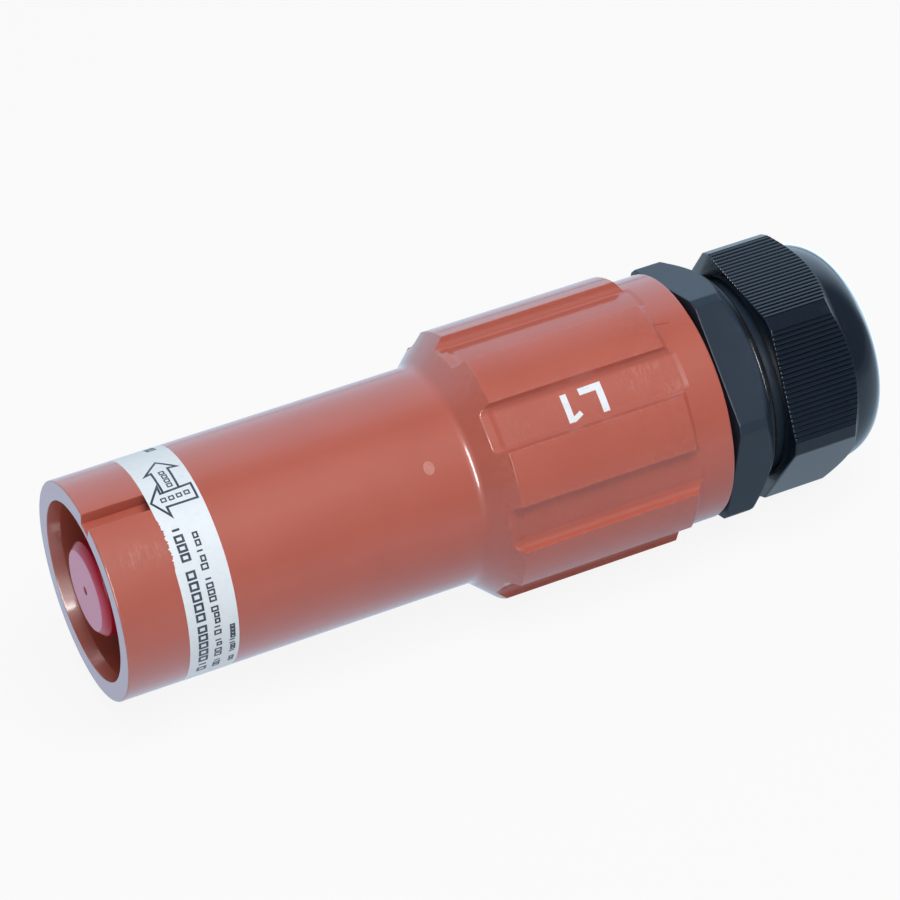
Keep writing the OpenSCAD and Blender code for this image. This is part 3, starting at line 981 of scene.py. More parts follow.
@dataclass
class Shell:
    """The moulded shell, in one skin: tube with its slot, cone, grip, rear band and hollows.

    mouth, bore, cavity and thread are each a radius and the station of the hollow's inner end.
    label is its start, its end and its depth, and groove its radius, its start and its end. key is
    the key hole's turn, its distance from the axis, its radius and the station of its floor.
    """

    tube_r: float = 25.0
    tube_len: float = 84.4
    cone: float = 42.0
    root_fillet: float = 3.0
    band_r: float = 28.7
    inset_r: float = 28.45
    land_end: float = 90.51
    panel_end: float = 133.5
    panel_foot: float = 135.1
    inset_end: float = 136.5
    length: float = 143.7
    label: tuple[float, float, float] = (14.2, 25.6, 0.2)
    mouth: tuple[float, float] = (20.55, 2.9)
    bore: tuple[float, float] = (20.0, 66.0)
    shaft_bore: float = 12.0
    cavity: tuple[float, float] = (19.0, 78.0)
    groove: tuple[float, float, float] = (20.0, 87.0, 88.5)
    thread: tuple[float, float] = (20.0, 129.7)
    key: tuple[float, float, float, float] = (180.0, 15.05, 2.05, 72.0)
    front_rows: tuple[float, ...] = (2.0, 4.0, 6.0, 8.0, 10.0, 12.0)
    tube_row: float = 55.0
    grip_row: float = 112.0
    wear_reach: float = 0.4
    scuffed_channel: float = 45.0
    channel_scuffs: tuple[Triple, ...] = ((127.0, 8.0, 1.0), (101.0, 6.0, 0.6))
    all_channels: float = 0.08
    tube_scuff: tuple[Triple, Triple] = ((9.0, 5.0, 0.7), (48.0, 6.0, 14.0))
    bore_gloss: float = 0.1

    def cone_station(self, radius: Array) -> Array:
        """Station where the cone reaches a radius: tube_len + (r - tube_r) / tan(cone)."""
        return self.tube_len + (radius - self.tube_r) / math.tan(math.radians(self.cone))

    def turns(self, section: GripSection, slot: BayonetSlot) -> Array:
        """Turns of all columns: those of the grip, the slot, the key hole and the panels' feet.

        Args:
            section: The grip's section.
            slot: The slot.

        Returns:
            The turns.
        """
        turn, radius, half, _ = self.key
        key = math.degrees(math.asin(half / radius)) * np.array([-1.02, -1.0, 1.0, 1.02]) + turn
        search = np.linspace(4.0, 11.0, 8001)
        rise = np.interp(self.band_r, section.radius(search, self.inset_r), search)
        rims = np.array([[-1], [1]]) * (rise + np.array([-0.01, 0.01]))
        pitch = 2 * section.half_pitch * np.arange(section.count)[:, None]
        rims = (rims.reshape(-1) + pitch).reshape(-1)
        return spaced(np.concatenate([section.turns(self.inset_r), slot.turns(), key, rims]), 0.004)

    def build(self) -> bpy.types.Object:
        """Builds the skin: for each turn one closed outline of corners, rounded all at once.

        Outside, the outline runs along the tube, up the cone to the section's radius, along the
        grip, down the panel's end slope and along the rear band. Inside, it returns through
        thread, cavity, bulkhead and bore.

        Returns:
            The piece.
        """
        section, slot = GripSection(), BayonetSlot()
        turn = self.turns(section, slot)
        entry, locking = slot.entry(turn), slot.locking(turn)
        land, inset = section.radius(turn, self.band_r), section.radius(turn, self.inset_r)
        label_start, label_end, label_t = self.label
        torn = torn_edge(turn, label_start)
        leg = np.maximum(slot.lock_start, torn)
        recess = self.tube_r - label_t
        before, under = (np.where(r < self.tube_r - slot.edge, r, recess) for r in (entry, locking))
        top = self.cone_station(land)
        step = np.maximum(self.land_end, top + 0.7)
        panel = inset > self.band_r
        slope = (self.panel_foot - self.panel_end) / (section.panel_r - self.band_r)
        end = np.where(panel, self.panel_foot - (inset - self.band_r) * slope, self.inset_end - 1.0)
        foot = np.where(panel, self.panel_foot, self.inset_end)
        key_turn, key_r, key_half, key_floor = self.key
        at_key = np.abs(turn - key_turn) <= math.degrees(math.asin(key_half / key_r)) * 1.01
        cavity_r, rear = self.cavity
        pocket = np.where(at_key, key_floor, rear)
        groove_r, groove_start, groove_end = self.groove
        thread_r, thread_start = self.thread
        bore_r, bore_end = self.bore
        mouth_r, mouth_end = self.mouth
        corners = [
            (0.0, entry, 0.3),
            *((x, entry, 0.0) for x in self.front_rows),
            (torn, entry, 0.0),
            (torn, before, 0.0),
            (leg, before, 0.0),
            (leg, under, 0.0),
            (slot.reach, under, 0.0),
            (slot.reach, recess, 0.0),
            (label_end, recess, 0.0),
            (label_end, self.tube_r, 0.1),
            (self.tube_row, self.tube_r, 0.0),
            (self.tube_len, self.tube_r, self.root_fillet),
            (top, land, np.where(land > self.band_r + 1.0, 0.15, 0.6)),
            (step, land, 0.6),
            (step + 1.2, inset, 0.6),
            (self.grip_row, inset, 0.0),
            (end, inset, 0.4),
            (foot, self.band_r, 0.25),
            (self.length, self.band_r, 0.4),
            (self.length, thread_r + 0.5, 0.0),
            (self.length - 0.5, thread_r, 0.0),
            (thread_start, thread_r, 0.0),
            (thread_start, cavity_r, 0.0),
            (groove_end, cavity_r, 0.0),
            (groove_end, groove_r, 0.0),
            (groove_start, groove_r, 0.0),
            (groove_start, cavity_r, 0.0),
            (rear, cavity_r, 0.0),
            (rear, key_r + key_half, 0.0),
            (pocket, key_r + key_half, 0.0),
            (pocket, key_r - key_half, 0.0),
            (rear, key_r - key_half, 0.0),
            (rear, self.shaft_bore, 0.0),
            (bore_end, self.shaft_bore, 0.0),
            (bore_end, bore_r, 0.5),
            (mouth_end, bore_r, 0.3),
            (0.0, mouth_r, 0.15),
        ]
        x, r = outlines(corners, turn)
        in_bore = (x > mouth_end + 0.2) & (r < bore_r + 0.2)
        fields = {
            Field.EDGE: self._edge_wear(x, r, turn, section, top),
            Field.SCUFF: self._scuffed(x, r, turn, section),
            Field.GRAIN: np.where((x > self.tube_len + 1) & (r > self.tube_r), 1.0, 0.0),
            # painted reflection: the rim's face gets the pale cut colour in place of its grazing
            # reflections
            Field.PAINTED_REFLECTION: np.where((x < 0.02) & (r > mouth_r), 1.0, 0.0),
            Field.GLOSS: np.where(in_bore, self.bore_gloss, 1.0),
        }
        piece = skin("shell_skin", round_axis(x, r, turn), fields=fields)
        return dress(piece, FINISH.shell, Slot.SHELL, "shell")

    def _edge_wear(
        self, x: Array, r: Array, turn: Array, section: GripSection, top: Array
    ) -> Array:
        """How worn a point is: exp(-(d / wear_reach)^2), d being its distance from a proud edge.

        Args:
            x: Stations of the points.
            r: Radii of the points.
            turn: Turn of each column.
            section: The grip's section.
            top: Station of the cone's upper edge in each column.

        Returns:
            Values from 0 to 1.
        """
        far = 20 * self.wear_reach
        beside = np.radians(np.abs(section.local(turn) - section.top_turn - 0.4)) * section.panel_r
        on_panel = (x > self.cone_station(section.panel_r) - 2) & (x < self.panel_end)
        beside = np.where(on_panel & (r > section.panel_r - 1), beside, far)
        panel_ends = np.where(r > self.band_r + 0.5, np.abs(x - self.panel_end), far)
        ends = np.minimum.reduce([np.abs(x - top), np.abs(x - self.length), np.abs(x), panel_ends])
        distance = np.minimum(beside, np.where(r > self.tube_r - 1.0, ends, far))
        return np.exp(-((distance / self.wear_reach) ** 2))

    def _scuffed(self, x: Array, r: Array, turn: Array, section: GripSection) -> Array:
        """Where the shell is scuffed: most round the mark, some behind the rim, a little elsewhere.

        On a channel's floor the value is all_channels, plus in the marked channel the sum of
        s exp(-((x - m) / w)^2) over its scuffs (m, w, s). On the tube, up to the last of its
        numbers, it is s exp(-((x - m) / w)^2 - (t / v)^2), with t the turn from the patch's middle.

        Args:
            x: Stations of the points.
            r: Radii of the points.
            turn: Turn of each column.
            section: The grip's section.

        Returns:
            Values from 0 to 1.
        """
        floor = (section.local(turn) < section.top_turn - 2.5) & (r > self.tube_r)
        floor = floor & (x > self.land_end + 1) & (x < self.inset_end - 1)
        marked = sum(s * np.exp(-(((x - m) / w) ** 2)) for m, w, s in self.channel_scuffs)
        marked = marked * (np.abs(turn - self.scuffed_channel) < section.half_pitch)
        (middle, length, strength), (side, width, last) = self.tube_scuff
        patch = np.exp(-(((x - middle) / length) ** 2) - ((turn - side) / width) ** 2)
        patch = np.where((x < last) & (r > self.tube_r - 0.3), strength * patch, 0.0)
        return np.clip(np.where(floor, self.all_channels + marked, 0.0) + patch, 0, 1)


def torn_edge(turn: Array, start: float) -> Array:
    """Station of the label's front edge, torn back a little at one place.

    With t the turn from the middle of the tear, the edge lies at
    start + 0.4 exp(-(t / 12)^6) (1 + 0.6 sin(1.7 t) sin(0.63 t) + 0.3 sin(4.3 t)).

    Args:
        turn: Turns about the axis.
        start: Station of the whole edge.

    Returns:
        The stations.
    """
    t = (turn - TEAR_TURN + 180) % 360 - 180
    rag = 1 + 0.6 * np.sin(1.7 * t) * np.sin(0.63 * t) + 0.3 * np.sin(4.3 * t)
    return start + 0.4 * np.exp(-((t / 12) ** 6)) * rag


@dataclass
class Word:
    """A run of plain boxes and bars that stands for a word.

    Each sign of the pattern is a tall box (B), a low box (b) or a bar (l). line is the station of
    their middle, and start and end are turns from VIEW_TURN.
    """

    line: float
    start: float
    end: float
    height: float
    pattern: str
    pen: float = 0.38

    def grids(self, radius: float) -> list[tuple[Array, bool]]:
        """Works out the signs, with their feet on the line's rear side.

        Args:
            radius: Radius of the label.

        Returns:
            Each sign's grid, and whether it is a closed line.
        """
        pitch = (self.end - self.start) / len(self.pattern)
        foot = self.line + (self.height - self.pen) / 2
        signs = []
        for k, kind in enumerate(self.pattern):
            near = self.start + pitch * (k + 0.16)
            far = near + pitch * 0.62
            head = foot - (self.height - self.pen) * (0.68 if kind == "b" else 1.0)
            path = ((head, near), (head, far), (foot, far), (foot, near))
            if kind == "l":
                path = ((head, (near + far) / 2), (foot, (near + far) / 2))
            closed = kind != "l"
            signs.append((stroke(path, self.pen, radius, closed), closed))
        return signs


@dataclass
class Label:
    """The printed label: a foil ring flush in its recess, two outlined arrows, lines of print."""

    start: float = 14.2
    middle: float = 20.0
    end: float = 25.6
    inner_r: float = 24.8
    outer_r: float = 25.0
    outline_w: float = 0.5
    push: Path = (
        (14.8, -31.5), (17.7, -40.2), (17.6, -35.4), (24.7, -36.2),
        (24.7, -27.1), (17.6, -27.1), (17.7, -21.9),
    )
    turn_arrow: Path = (
        (18.3, -35.7), (18.2, -50.2), (16.7, -49.4), (20.6, -58.1),
        (24.0, -50.1), (22.1, -50.8), (22.0, -36.1),
    )
    words: tuple[Word, ...] = (
        Word(17.3, -16.5, 2.5, 2.2, "lBBB", 0.52),
        Word(17.3, 6.5, 34.5, 2.2, "BBBBB", 0.52),
        Word(17.3, 36.0, 73.0, 2.2, "BBBBBlB", 0.52),
        Word(20.7, -11.0, 9.0, 1.7, "bblbB"),
        Word(20.7, 11.5, 25.5, 1.7, "lBBB"),
        Word(20.7, 27.5, 45.0, 1.7, "BbblB"),
        Word(20.7, 47.0, 53.0, 1.7, "lb"),
        Word(20.7, 54.5, 61.5, 1.7, "BB"),
        Word(20.7, 64.0, 73.0, 1.7, "lBB"),
        Word(23.9, 41.0, 62.0, 1.6, "bbbbllbbl"),
        Word(23.9, 66.0, 72.0, 1.6, "bb"),
        Word(22.5, -82.0, -74.0, 2.2, "BB", 0.52),
    )
    signs: Path = (
        (17.6, -31.2), (19.4, -31.2), (21.2, -31.4), (23.0, -31.6),
        (20.4, -38.9), (20.4, -42.1), (20.4, -45.2), (20.3, -48.3),
    )

    def build(self) -> list[bpy.types.Object]:
        """Builds the band and its print.

        Returns:
            The pieces.
        """
        pieces = [self._band()]
        small = [Word(x, phi - 1.6, phi + 1.6, 1.3, "B", 0.3) for x, phi in self.signs]
        signs = [sign for word in (*self.words, *small) for sign in word.grids(self.outer_r)]
        prints = {
            "push_arrow": ([stroke(self.push, self.outline_w, self.outer_r, True)], True),
            "turn_arrow": ([stroke(self.turn_arrow, self.outline_w, self.outer_r)], False),
            "print_boxes": ([grid for grid, closed in signs if closed], True),
            "print_bars": ([grid for grid, closed in signs if not closed], False),
        }
        for name, (grids, closed) in prints.items():
            pieces.append(dress(skin(name, *grids, wrap=closed), FINISH.dark_ink, Slot.LABEL))
        return pieces

    def _band(self) -> bpy.types.Object:
        """The foil: a flat ring whose front edge follows the tear.

        Returns:
            The piece.
        """
        turn = np.arange(0, 360, 0.25)
        torn = torn_edge(turn, self.start)
        corners = [
            (torn, self.inner_r, 0.0),
            (torn, self.outer_r, 0.0),
            (self.middle, self.outer_r, 0.0),
            (self.end, self.outer_r, 0.0),
            (self.end, self.inner_r, 0.0),
        ]
        x, r = outlines(corners, turn)
        piece = skin("label_foil", round_axis(x, r, turn))
        return dress(piece, FINISH.label, Slot.LABEL, "label_band")


@dataclass
class GripMarks:
    """Marks on the shell: the phase mark in a channel, a rubbed spot whose pale colour is a painted
    highlight, and a short moulded line.

    mark holds the phase mark's strokes, each with its width. rubbed and the corners of all strokes
    are a station and a turn from VIEW_TURN.
    """

    channel_r: float = 28.45
    tube_r: float = 25.0
    line_r: float = 28.79
    mark: tuple[tuple[Path, float], ...] = (
        (((111.8, -14.8), (116.5, -15.0), (116.5, -2.8)), 1.6),
        (((108.1, -15.9), (108.1, -2.7)), 1.5),
        (((108.4, -3.4), (110.8, -5.8)), 1.15),
    )
    # rubbed: place of the rubbed spot; its pale colour is a painted highlight
    rubbed: tuple[float, float] = (74.8, -4.2)
    rubbed_size: tuple[float, float] = (2.5, 3.1)
    rubbed_height: float = 0.03
    line: Path = ((134.9, -34.6), (138.4, -33.2))
    line_w: float = 0.35

    def build(self) -> list[bpy.types.Object]:
        """Builds the marks.

        Returns:
            The pieces.
        """
        mark = [stroke(path, width, self.channel_r) for path, width in self.mark]
        rubbed = spot(*self.rubbed, self.rubbed_size, self.tube_r, self.rubbed_height)
        line = stroke(self.line, self.line_w, self.line_r)
        return [
            dress(skin("phase_mark", *mark, wrap=False), FINISH.white_ink, Slot.SHELL),
            # painted highlight: the spot's pale colour stands in for the highlight on the rub
            dress(skin("rubbed_spot_highlight", rubbed), FINISH.painted_highlight, Slot.SHELL),
            dress(skin("moulded_line", line, wrap=False), FINISH.shell, Slot.SHELL),
        ]


@dataclass
class InsulatingTip:
    """The red tip on the contact, with its vent and its stem."""

    face: float = 0.5
    back: float = 13.0
    stem_end: float = 27.0
    radius: float = 10.8
    bevel: float = 1.6
    stem_r: float = 7.9
    vent_r: float = 1.0
    reflection_fade_at: tuple[float, ...] = (0.01, 0.05, 0.35, 1.2)
    reflection_fade_to: tuple[float, ...] = (1.0, 0.5, 0.35, 0.0)
    columns: int = 144

    def build(self) -> bpy.types.Object:
        """Turns the tip's outline round the axis: column k is at turn 360 k / columns.

        Its face and bevel carry the cut colour, a painted reflection. Going back from the face, the
        painted reflection fades out over the bevel: at the distances reflection_fade_at, the shares
        reflection_fade_to of it are left.

        Returns:
            The piece.
        """
        corners = [
            (self.face, self.vent_r, 0.12),
            (self.face, self.radius - self.bevel, 0.4),
            (self.face + self.bevel, self.radius, 0.5),
            (self.back, self.radius, 0.1),
            (self.back, self.stem_r, 0.0),
            (self.stem_end - 0.5, self.stem_r, 0.0),
            (self.stem_end, self.stem_r - 0.5, 0.0),
            (self.stem_end, self.vent_r, 0.0),
        ]
        turn = np.arange(self.columns) * 360 / self.columns
        x, r = outlines(corners, turn)
        # painted reflection: share of the cut colour, fading back over the bevel
        cut = np.interp(x - self.face, self.reflection_fade_at, self.reflection_fade_to)
        piece = skin("insulating_tip", round_axis(x, r, turn), fields={Field.PAINTED_REFLECTION: cut})
        return dress(piece, FINISH.tip, Slot.TIP, "contact_tip")


def hexagon(turn: Array, flat: Array | float, corner: float, first: float) -> Array:
    """Radius of a hexagon with flattened corners.

    With d the turn from the middle of the nearest flat, it is the smaller of flat / cos(d) and
    corner / cos(30 - d), with a CREASE between them rounded.

    Args:
        turn: Turns about the axis.
        flat: Distance of the flats from the axis.
        corner: Distance of the corner facets from the axis.
        first: Turn of the middle of one flat.

    Returns:
        The radii.
    """
    d = np.radians(np.abs((turn - first + 30) % 60 - 30))
    return smooth_min(flat / np.cos(d), corner / np.cos(math.radians(30) - d), CREASE)


def corner_facet(across_flats: float, width: float) -> float:
    """Distance of a hexagon's corner facets from the axis: (across_flats - width / 2) / sqrt(3)."""
    return (across_flats - width / 2) / math.sqrt(3)


def hexagon_turns(first: float, corner_half: float) -> Array:
    """Turns for a hexagon: a few on each flat, and close together round its corners.

    Args:
        first: Turn of the middle of one flat.
        corner_half: Half the turn that a corner facet takes up.

    Returns:
        The turns.
    """
    near = corner_half + np.array([-0.5, -0.25, 0.0, 0.25, 0.5, 1.0, 2.0])
    half = np.concatenate([np.linspace(0, 25, 11), 30 - near, [30]])
    one = np.unique(np.round(np.concatenate([-half, half]), 5))[:-1]
    return np.sort((first + one[None, :] + 60 * np.arange(6)[:, None]).reshape(-1) % 360)


@dataclass
class GlandBody:
    """The gland's body: spigot, hexagon with corners cut by a cone, neck and chamber.

    spigot, neck and chamber are each a radius and the station where it ends.
    """

    front: float = 145.0
    rear: float = 154.6
    across_flats: float = 53.0
    corner_w: float = 2.4
    corner_half: float = 1.7
    turn: float = 48.6
    cone: float = 1.2
    spigot: tuple[float, float] = (19.9, 130.7)
    neck: tuple[float, float] = (23.0, 156.7)
    thread_r: float = 22.5
    end: float = 172.0
    chamber: tuple[float, float] = (20.9, 153.0)
    bore_r: float = 15.7
    edge: float = 0.3
    crease: float = 0.35

    def build(self) -> bpy.types.Object:
        """Builds the skin.

        Over the hexagon the radius is the smaller of the hexagon's and the cone's
        flat + cone (rear - x), with a rounded crease. The rest is turned.

        Returns:
            The piece.
        """
        flat = self.across_flats / 2
        corner = corner_facet(self.across_flats, self.corner_w)
        turn = hexagon_turns(self.turn, self.corner_half)
        hexagonal = hexagon(turn, flat, corner, self.turn)
        arc = np.radians(np.linspace(0, 90, 5))
        rise, fall = self.edge * (1 - np.sin(arc)), self.edge * (1 - np.cos(arc))
        middle = np.array([self.front + 0.5, self.front + 3.0])
        back = np.linspace(self.rear - 4.0, self.rear - self.edge, 24)
        stations = np.concatenate([self.front + fall, middle, back, self.rear - rise])[:, None]
        inset = np.concatenate([rise, np.zeros(middle.size + back.size), fall])[:, None]
        cone = flat + self.cone * (self.rear - stations)
        outer = smooth_min(hexagonal[None, :], cone, self.crease) - inset
        (spigot_r, start), (neck_r, neck_end) = self.spigot, self.neck
        chamber_r, chamber_end = self.chamber
        inner = [
            (self.rear, neck_r),
            (neck_end, neck_r),
            (neck_end + 0.5, self.thread_r),
            (self.end - 1, self.thread_r),
            (self.end, self.thread_r - 1),
            (self.end, chamber_r),
            (chamber_end, chamber_r),
            (chamber_end, self.bore_r),
            (start, self.bore_r),
            (start, spigot_r - 1),
            (start + 1, spigot_r),
            (self.front, spigot_r),
        ]
        x, r = outlines([(*row, 0.0) for row in (*zip(stations[:, 0], outer), *inner)], turn)
        wear = 0.6 * np.exp(-(((r - hexagonal) / 0.5) ** 2) - ((x - self.rear + 1.5) / 1.5) ** 2)
        piece = skin("gland_body_skin", round_axis(x, r, turn), fields={Field.EDGE: wear})
        return dress(piece, FINISH.gland, Slot.GLAND, "gland_body")


@dataclass
class CollarRing:
    """The round black ring between the gland's body and its nut."""

    station: float = 155.7
    middle: float = 24.0
    wire: float = 2.0

    def build(self) -> bpy.types.Object:
        """Builds the ring: x = station + w cos(a), r = middle + w sin(a), with w half the wire.

        Returns:
            The piece.
        """
        a = np.radians(np.arange(24) * 15.0)[:, None]
        x, r = self.station + self.wire / 2 * np.cos(a), self.middle + self.wire / 2 * np.sin(a)
        points = round_axis(x, r, np.arange(0, 360, 2.0)[None, :])
        return dress(skin("collar_ring_skin", points), FINISH.ring, Slot.RUBBER, "collar_ring")


@dataclass
class DomeNut:
    """The nut: a hexagon with ridges on four flats, cut back by a cone, and a round dome.

    dome is the distance of its centre from the axis, and its radius. seat is a station and a
    radius for its rear end, then for its front end. thread is its radius, its rear and its front.
    """

    front: float = 159.0
    flat_end: float = 176.8
    rear: float = 186.6
    across_flats: float = 52.0
    corner_w: float = 3.4
    corner_half: float = 2.5
    turn: float = 68.5
    cone: float = 50.0
    dome: tuple[float, float] = (15.9, 9.6)
    ridges: int = 23
    ridge_columns: int = 10
    ridge_depth: float = 0.4
    margin: float = 0.6
    hole_r: float = 15.0
    seat: tuple[float, float, float, float] = (181.5, 17.3, 173.0, 21.1)
    thread: tuple[float, float, float] = (22.6, 172.5, 160.5)
    mouth_r: float = 24.1

    def _field(self) -> float:
        """Half the width of the ridged field: half the flat, less its margin."""
        half_flat = self.across_flats / 2 / math.sqrt(3) - self.corner_w / 2 * math.cos(math.pi / 6)
        return half_flat - self.margin

    def _section(self, turn: Array) -> Array:
        """Radius of the nut's section.

        Across a ridged flat, y = flat tan(d), and u is y's place in its ridge, from 0 to 1. The
        flat is sunk by depth (1 - s(4 min(u, 1 - u))), with s a smooth step from 0 to 1.

        Args:
            turn: Turns about the axis.

        Returns:
            The radii.
        """
        flat = self.across_flats / 2
        signed = (turn - self.turn + 30) % 60 - 30
        index = np.round((turn - self.turn - signed) / 60).astype(int) % 3
        y = flat * np.tan(np.radians(signed))
        field = self._field()
        u = (y + field) / (2 * field / self.ridges) % 1
        rise = np.clip(4 * np.minimum(u, 1 - u), 0, 1)
        groove = self.ridge_depth * (1 - rise**2 * (3 - 2 * rise))
        sunk = np.where((np.abs(y) < field) & (index != 1), groove, 0.0)
        corner = corner_facet(self.across_flats, self.corner_w)
        return hexagon(turn, flat - sunk, corner, self.turn)

    def _turns(self) -> Array:
        """Turns of the columns: some for each ridge, and those of the hexagon's corners.

        Returns:
            The turns.
        """
        field = self._field()
        y = np.linspace(-field, field, self.ridges * self.ridge_columns + 1)
        ridged = np.degrees(np.arctan(y / (self.across_flats / 2)))
        flats = self.turn + 60 * np.array([0, 2, 3, 5])[:, None]
        corners = hexagon_turns(self.turn, self.corner_half)
        return spaced(np.concatenate([(flats + ridged).reshape(-1), corners]), 0.02)

    def build(self) -> bpy.types.Object:
        """Builds the skin: for each turn one closed outline of corners, rounded all at once.

        A flat at radius s ends where the cone meets it, at flat_end - (s - flat) / tan(cone). With
        the dome's centre at (c, m) and its radius f, the dome is (c + f sin(a), m + f cos(a)), from
        the cone to the cable hole.

        Returns:
            The piece.
        """
        turn = self._turns()
        section = self._section(turn)
        cut = self.flat_end - (section - self.across_flats / 2) / math.tan(math.radians(self.cone))
        middle, f = self.dome
        centre = self.rear - f
        a = np.radians(np.linspace(1.3, 89.4, 36))
        seat, seat_r, seat_front, seat_front_r = self.seat
        thread_r, thread_rear, thread_front = self.thread
        corners = [
            (self.front, section, 0.35),
            (self.front + 6.0, section, 0.0),
            (cut - 3.0, section, 0.0),
            (cut, section, 0.18),
            *((x, r, 0.0) for x, r in zip(centre + f * np.sin(a), middle + f * np.cos(a))),
            (self.rear - 1.0, self.hole_r, 0.1),
            (seat, self.hole_r, 0.0),
            (seat, seat_r, 0.0),
            (seat_front, seat_front_r, 0.0),
            (thread_rear, thread_r, 0.0),
            (thread_front, thread_r, 0.0),
            (self.front, self.mouth_r, 0.1),
        ]
        x, r = outlines(corners, turn)
        wear = 0.7 * np.exp(-((x - cut) ** 2 + (r - section) ** 2) / 0.35**2)
        gloss = np.where(x > cut + 0.1, 1.0, 0.25)
        fields = {Field.EDGE: wear, Field.GLOSS: gloss}
        piece = skin("dome_nut_skin", round_axis(x, r, turn), fields=fields)
        return dress(piece, FINISH.nut, Slot.GLAND, "dome_nut")


@dataclass
class InnerParts:
    """The solids that stay as they are and get their finish."""

    nodes: dict[str, bpy.types.Object]

    def build(self) -> None:
        """Gives each kept solid its material."""
        finishes = {
            "contact_pin": FINISH.silver,
            "key_pin": FINISH.steel,
            "retaining_clip": FINISH.steel,
            "clamp_screw_front": FINISH.steel,
            "clamp_screw_rear": FINISH.steel,
            "face_seal": FINISH.rubber,
            "shaft_ring": FINISH.rubber,
            "gland_gasket": FINISH.rubber,
            "sealing_insert": FINISH.rubber,
            "thrust_ring": FINISH.ivory,
            "clamping_cage": FINISH.gland,
        }
        for name, finish in finishes.items():
            for entry in self.nodes[name].material_slots:
                entry.material = finish.material()
            LOG.info("%s: kept, %s", name, finish.name)


@dataclass(frozen=True)
class Lamp:
    """A lamp that faces LAMP_AIM, there for the gloss alone or for all but the gloss."""

    name: str
    place: Triple
    size: tuple[float, float]
    watts: float
    for_gloss: bool = False

    def build(self) -> None:
        """Hangs the lamp up, turned to its aim."""
        light = bpy.data.lights.new(self.name, "AREA")
        light.shape = "RECTANGLE"
        light.size, light.size_y = self.size
        light.energy = self.watts
        lamp = placed(self.name, light)
        lamp.location = self.place
        lamp.visible_glossy = self.for_gloss
        lamp.visible_diffuse = not self.for_gloss
        lamp.visible_camera = False
        direction = Vector(LAMP_AIM) - Vector(self.place)
        lamp.rotation_euler = direction.to_track_quat("-Z", "Y").to_euler()


@dataclass(frozen=True)
class FloorGlow:
    """The floor's glow as the gloss meets it.

    It is bright behind the connector, most of all behind the gland, dim just in front and dark
    further off. Lengths are in metres, and each pair is where a smooth step starts and ends.
    """

    slope: float = 0.3
    shift: float = 0.06
    behind: tuple[float, float] = (-0.03, 0.04)
    gland: tuple[float, float] = (0.18, 0.21)
    gland_slope: float = 0.5
    gland_depth: tuple[float, float] = (0.0, 0.08)
    gland_gain: float = 1.1
    far: tuple[float, float] = (0.4, 0.9)
    far_loss: float = 1.2
    near: tuple[float, float] = (-0.3, -0.08)
    near_end: tuple[float, float] = (0.28, 0.4)
    near_gain: float = 0.35

    def strength(self, x: Value, y: Value, room: float, bright: float) -> Value:
        """Works out the glow.

        It is room + (bright - room) b (1 + gland_gain g (1 - d) - far_loss f), plus
        near_gain n (1 - m) (1 - b), with the smooth steps b of y - slope x + shift, g and f of x,
        d of y - gland_slope x, n of y and m of x.

        Args:
            x: First coordinate of the place.
            y: Second coordinate of the place.
            room: Strength where it is dark.
            bright: Strength where it is bright.

        Returns:
            The strength.
        """
        behind = (y - x * self.slope + self.shift).between(*self.behind)
        beyond = (y - x * self.gland_slope).between(*self.gland_depth)
        gland = x.between(*self.gland) * (1 - beyond)
        level = 1 + gland * self.gland_gain - x.between(*self.far) * self.far_loss
        near = y.between(*self.near) * (1 - x.between(*self.near_end)) * self.near_gain
        return behind * level * (bright - room) + (1 - behind) * near + room


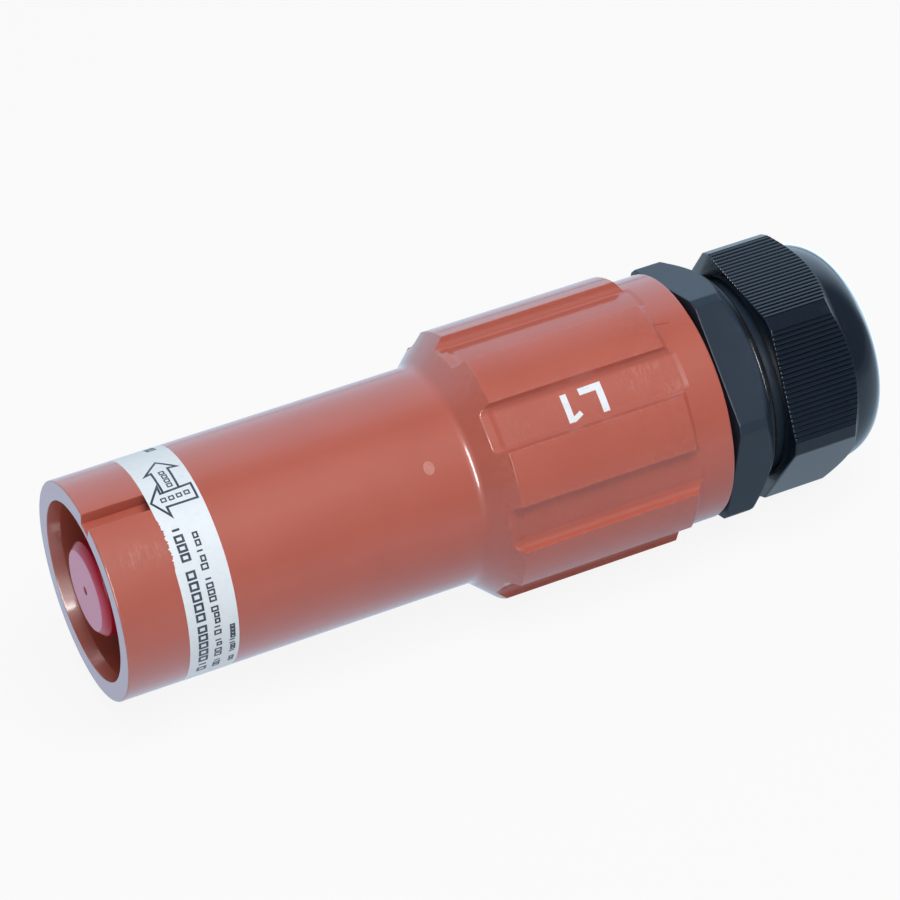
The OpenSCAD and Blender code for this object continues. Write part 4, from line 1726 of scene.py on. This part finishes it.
@dataclass
class Studio:
    """Plain pale floor, white surroundings with the dark room in front, lamps and camera.

    Light falls on the floor as on paper. Of what the camera and the gloss see of it,
    camera_share and mirrored_share are its own glow. room and bright are how strong the dark side
    in front and the bright side behind are where the gloss meets them.
    """

    floor_z: float
    floor_half: float = 6.0
    paper: float = 0.65
    mirrored_paper: float = 0.8
    camera_share: float = 0.9
    mirrored_share: float = 0.75
    glow: FloorGlow = FloorGlow()
    ambient: float = 0.30
    mirrored: Colour = (0.63, 0.82, 1.0)
    room: float = 0.12
    bright: float = 1.2
    sky: tuple[float, float] = (0.0, 0.6)
    lamps: tuple[Lamp, ...] = (
        Lamp("soft_lamp", (0.22, -0.62, 1.25), (1.1, 1.1), 15.4),
        Lamp("fill_lamp", (-0.30, -1.15, 0.12), (0.5, 0.5), 2.0),
        Lamp("strip_lamp", (-0.36, -1.0, 0.62), (0.22, 0.9), 17.0, for_gloss=True),
    )
    camera_place: Triple = (-0.21502, -0.73220, 0.51460)
    camera_turn: Triple = (57.1371, 4.7389, -25.5433)
    lens: float = 170.756

    def build(self) -> None:
        """Builds floor, surroundings, lamps and camera."""
        self._floor()
        self._world()
        for lamp in self.lamps:
            lamp.build()
        self._camera()

    def _seen(self, g: Graph) -> tuple[Value, Value, bpy.types.NodeSocket]:
        """Tells rays from the camera apart from those that are mirrored or pass through.

        Args:
            g: The graph.

        Returns:
            A mask for each, and the light's colour: white, or tinted where it is mirrored.
        """
        path = g.node("ShaderNodeLightPath").outputs
        camera, glossy, through = (
            Value(g, path[f"Is {kind} Ray"]) for kind in ("Camera", "Glossy", "Transmission")
        )
        mirrored = (glossy + through).between(0.0, 1.0)
        return camera, mirrored, g.mix(WHITE, self.mirrored, mirrored)

    def _floor(self) -> None:
        """A flat square under the connector, seen near white, with a soft shadow."""
        h, z = self.floor_half, self.floor_z
        mesh = bpy.data.meshes.new("floor")
        mesh.from_pydata([(-h, -h, z), (h, -h, z), (h, h, z), (-h, h, z)], [], [(0, 1, 2, 3)])
        material, g = new_material("pale floor")
        camera, mirrored, colour = self._seen(g)
        tinted = tuple(self.mirrored_paper * c for c in self.mirrored)
        paper = g.mix((self.paper,) * 3, tinted, mirrored)
        matt = g.node("ShaderNodeBsdfDiffuse", None, {"Color": paper})
        parts = g.node("ShaderNodeSeparateXYZ", None, {0: g.place()})
        x, y = (Value(g, parts.outputs[axis]) for axis in ("X", "Y"))
        strength = 1 + mirrored * (self.glow.strength(x, y, self.room, self.bright) - 1)
        glow = g.node("ShaderNodeEmission", None, {"Color": colour, "Strength": strength})
        share = camera * self.camera_share + mirrored * self.mirrored_share
        g.surface("ShaderNodeMixShader", {0: share, 1: matt.outputs[0], 2: glow.outputs[0]})
        mesh.materials.append(material)
        placed("floor", mesh)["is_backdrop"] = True

    def _world(self) -> None:
        """White surroundings: strength 1 where they are seen, ambient as light, or mirrored.

        A mirrored ray that leaves towards y, with y from -1 in front to 1 behind, meets
        room + (bright - room) s(y), with s a smooth step over the sky's pair.
        """
        world = bpy.data.worlds.new("surroundings")
        world.use_nodes = True
        bpy.context.scene.world = world
        g = Graph(world.node_tree)
        camera, mirrored, colour = self._seen(g)
        direction = g.node("ShaderNodeTexCoord").outputs["Generated"]
        ahead = Value(g, g.node("ShaderNodeSeparateXYZ", None, {0: direction}).outputs["Y"])
        behind = ahead.between(*self.sky)
        strength = camera + mirrored * (behind * (self.bright - self.room) + self.room)
        strength = strength + (1 - (camera + mirrored)) * self.ambient
        back = g.node("ShaderNodeBackground", None, {"Color": colour, "Strength": strength})
        g.node("ShaderNodeOutputWorld", None, {"Surface": back.outputs[0]})

    def _camera(self) -> None:
        """Adds the camera, with its roll, and makes it the scene's camera."""
        data = bpy.data.cameras.new("camera")
        data.lens = self.lens
        data.sensor_width = 36.0
        data.sensor_fit = "HORIZONTAL"
        data.clip_start = 0.01
        camera = placed("camera", data)
        camera.location = self.camera_place
        camera.rotation_euler = [math.radians(a) for a in self.camera_turn]
        bpy.context.scene.camera = camera


def main() -> None:
    """Builds the connector's pieces and the studio round them."""
    logging.basicConfig(level=logging.INFO, format="%(message)s")
    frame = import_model()
    solid_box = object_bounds()
    for kind in (Shell, Label, GripMarks, InsulatingTip, GlandBody, CollarRing, DomeNut):
        kind().build()
        LOG.info("%s done", kind.__name__)
    InnerParts(frame["nodes"]).build()
    Studio(floor_z=float(solid_box[0][2])).build()
    bpy.context.scene.view_settings.view_transform = "Standard"


if __name__ == "__main__":
    main()
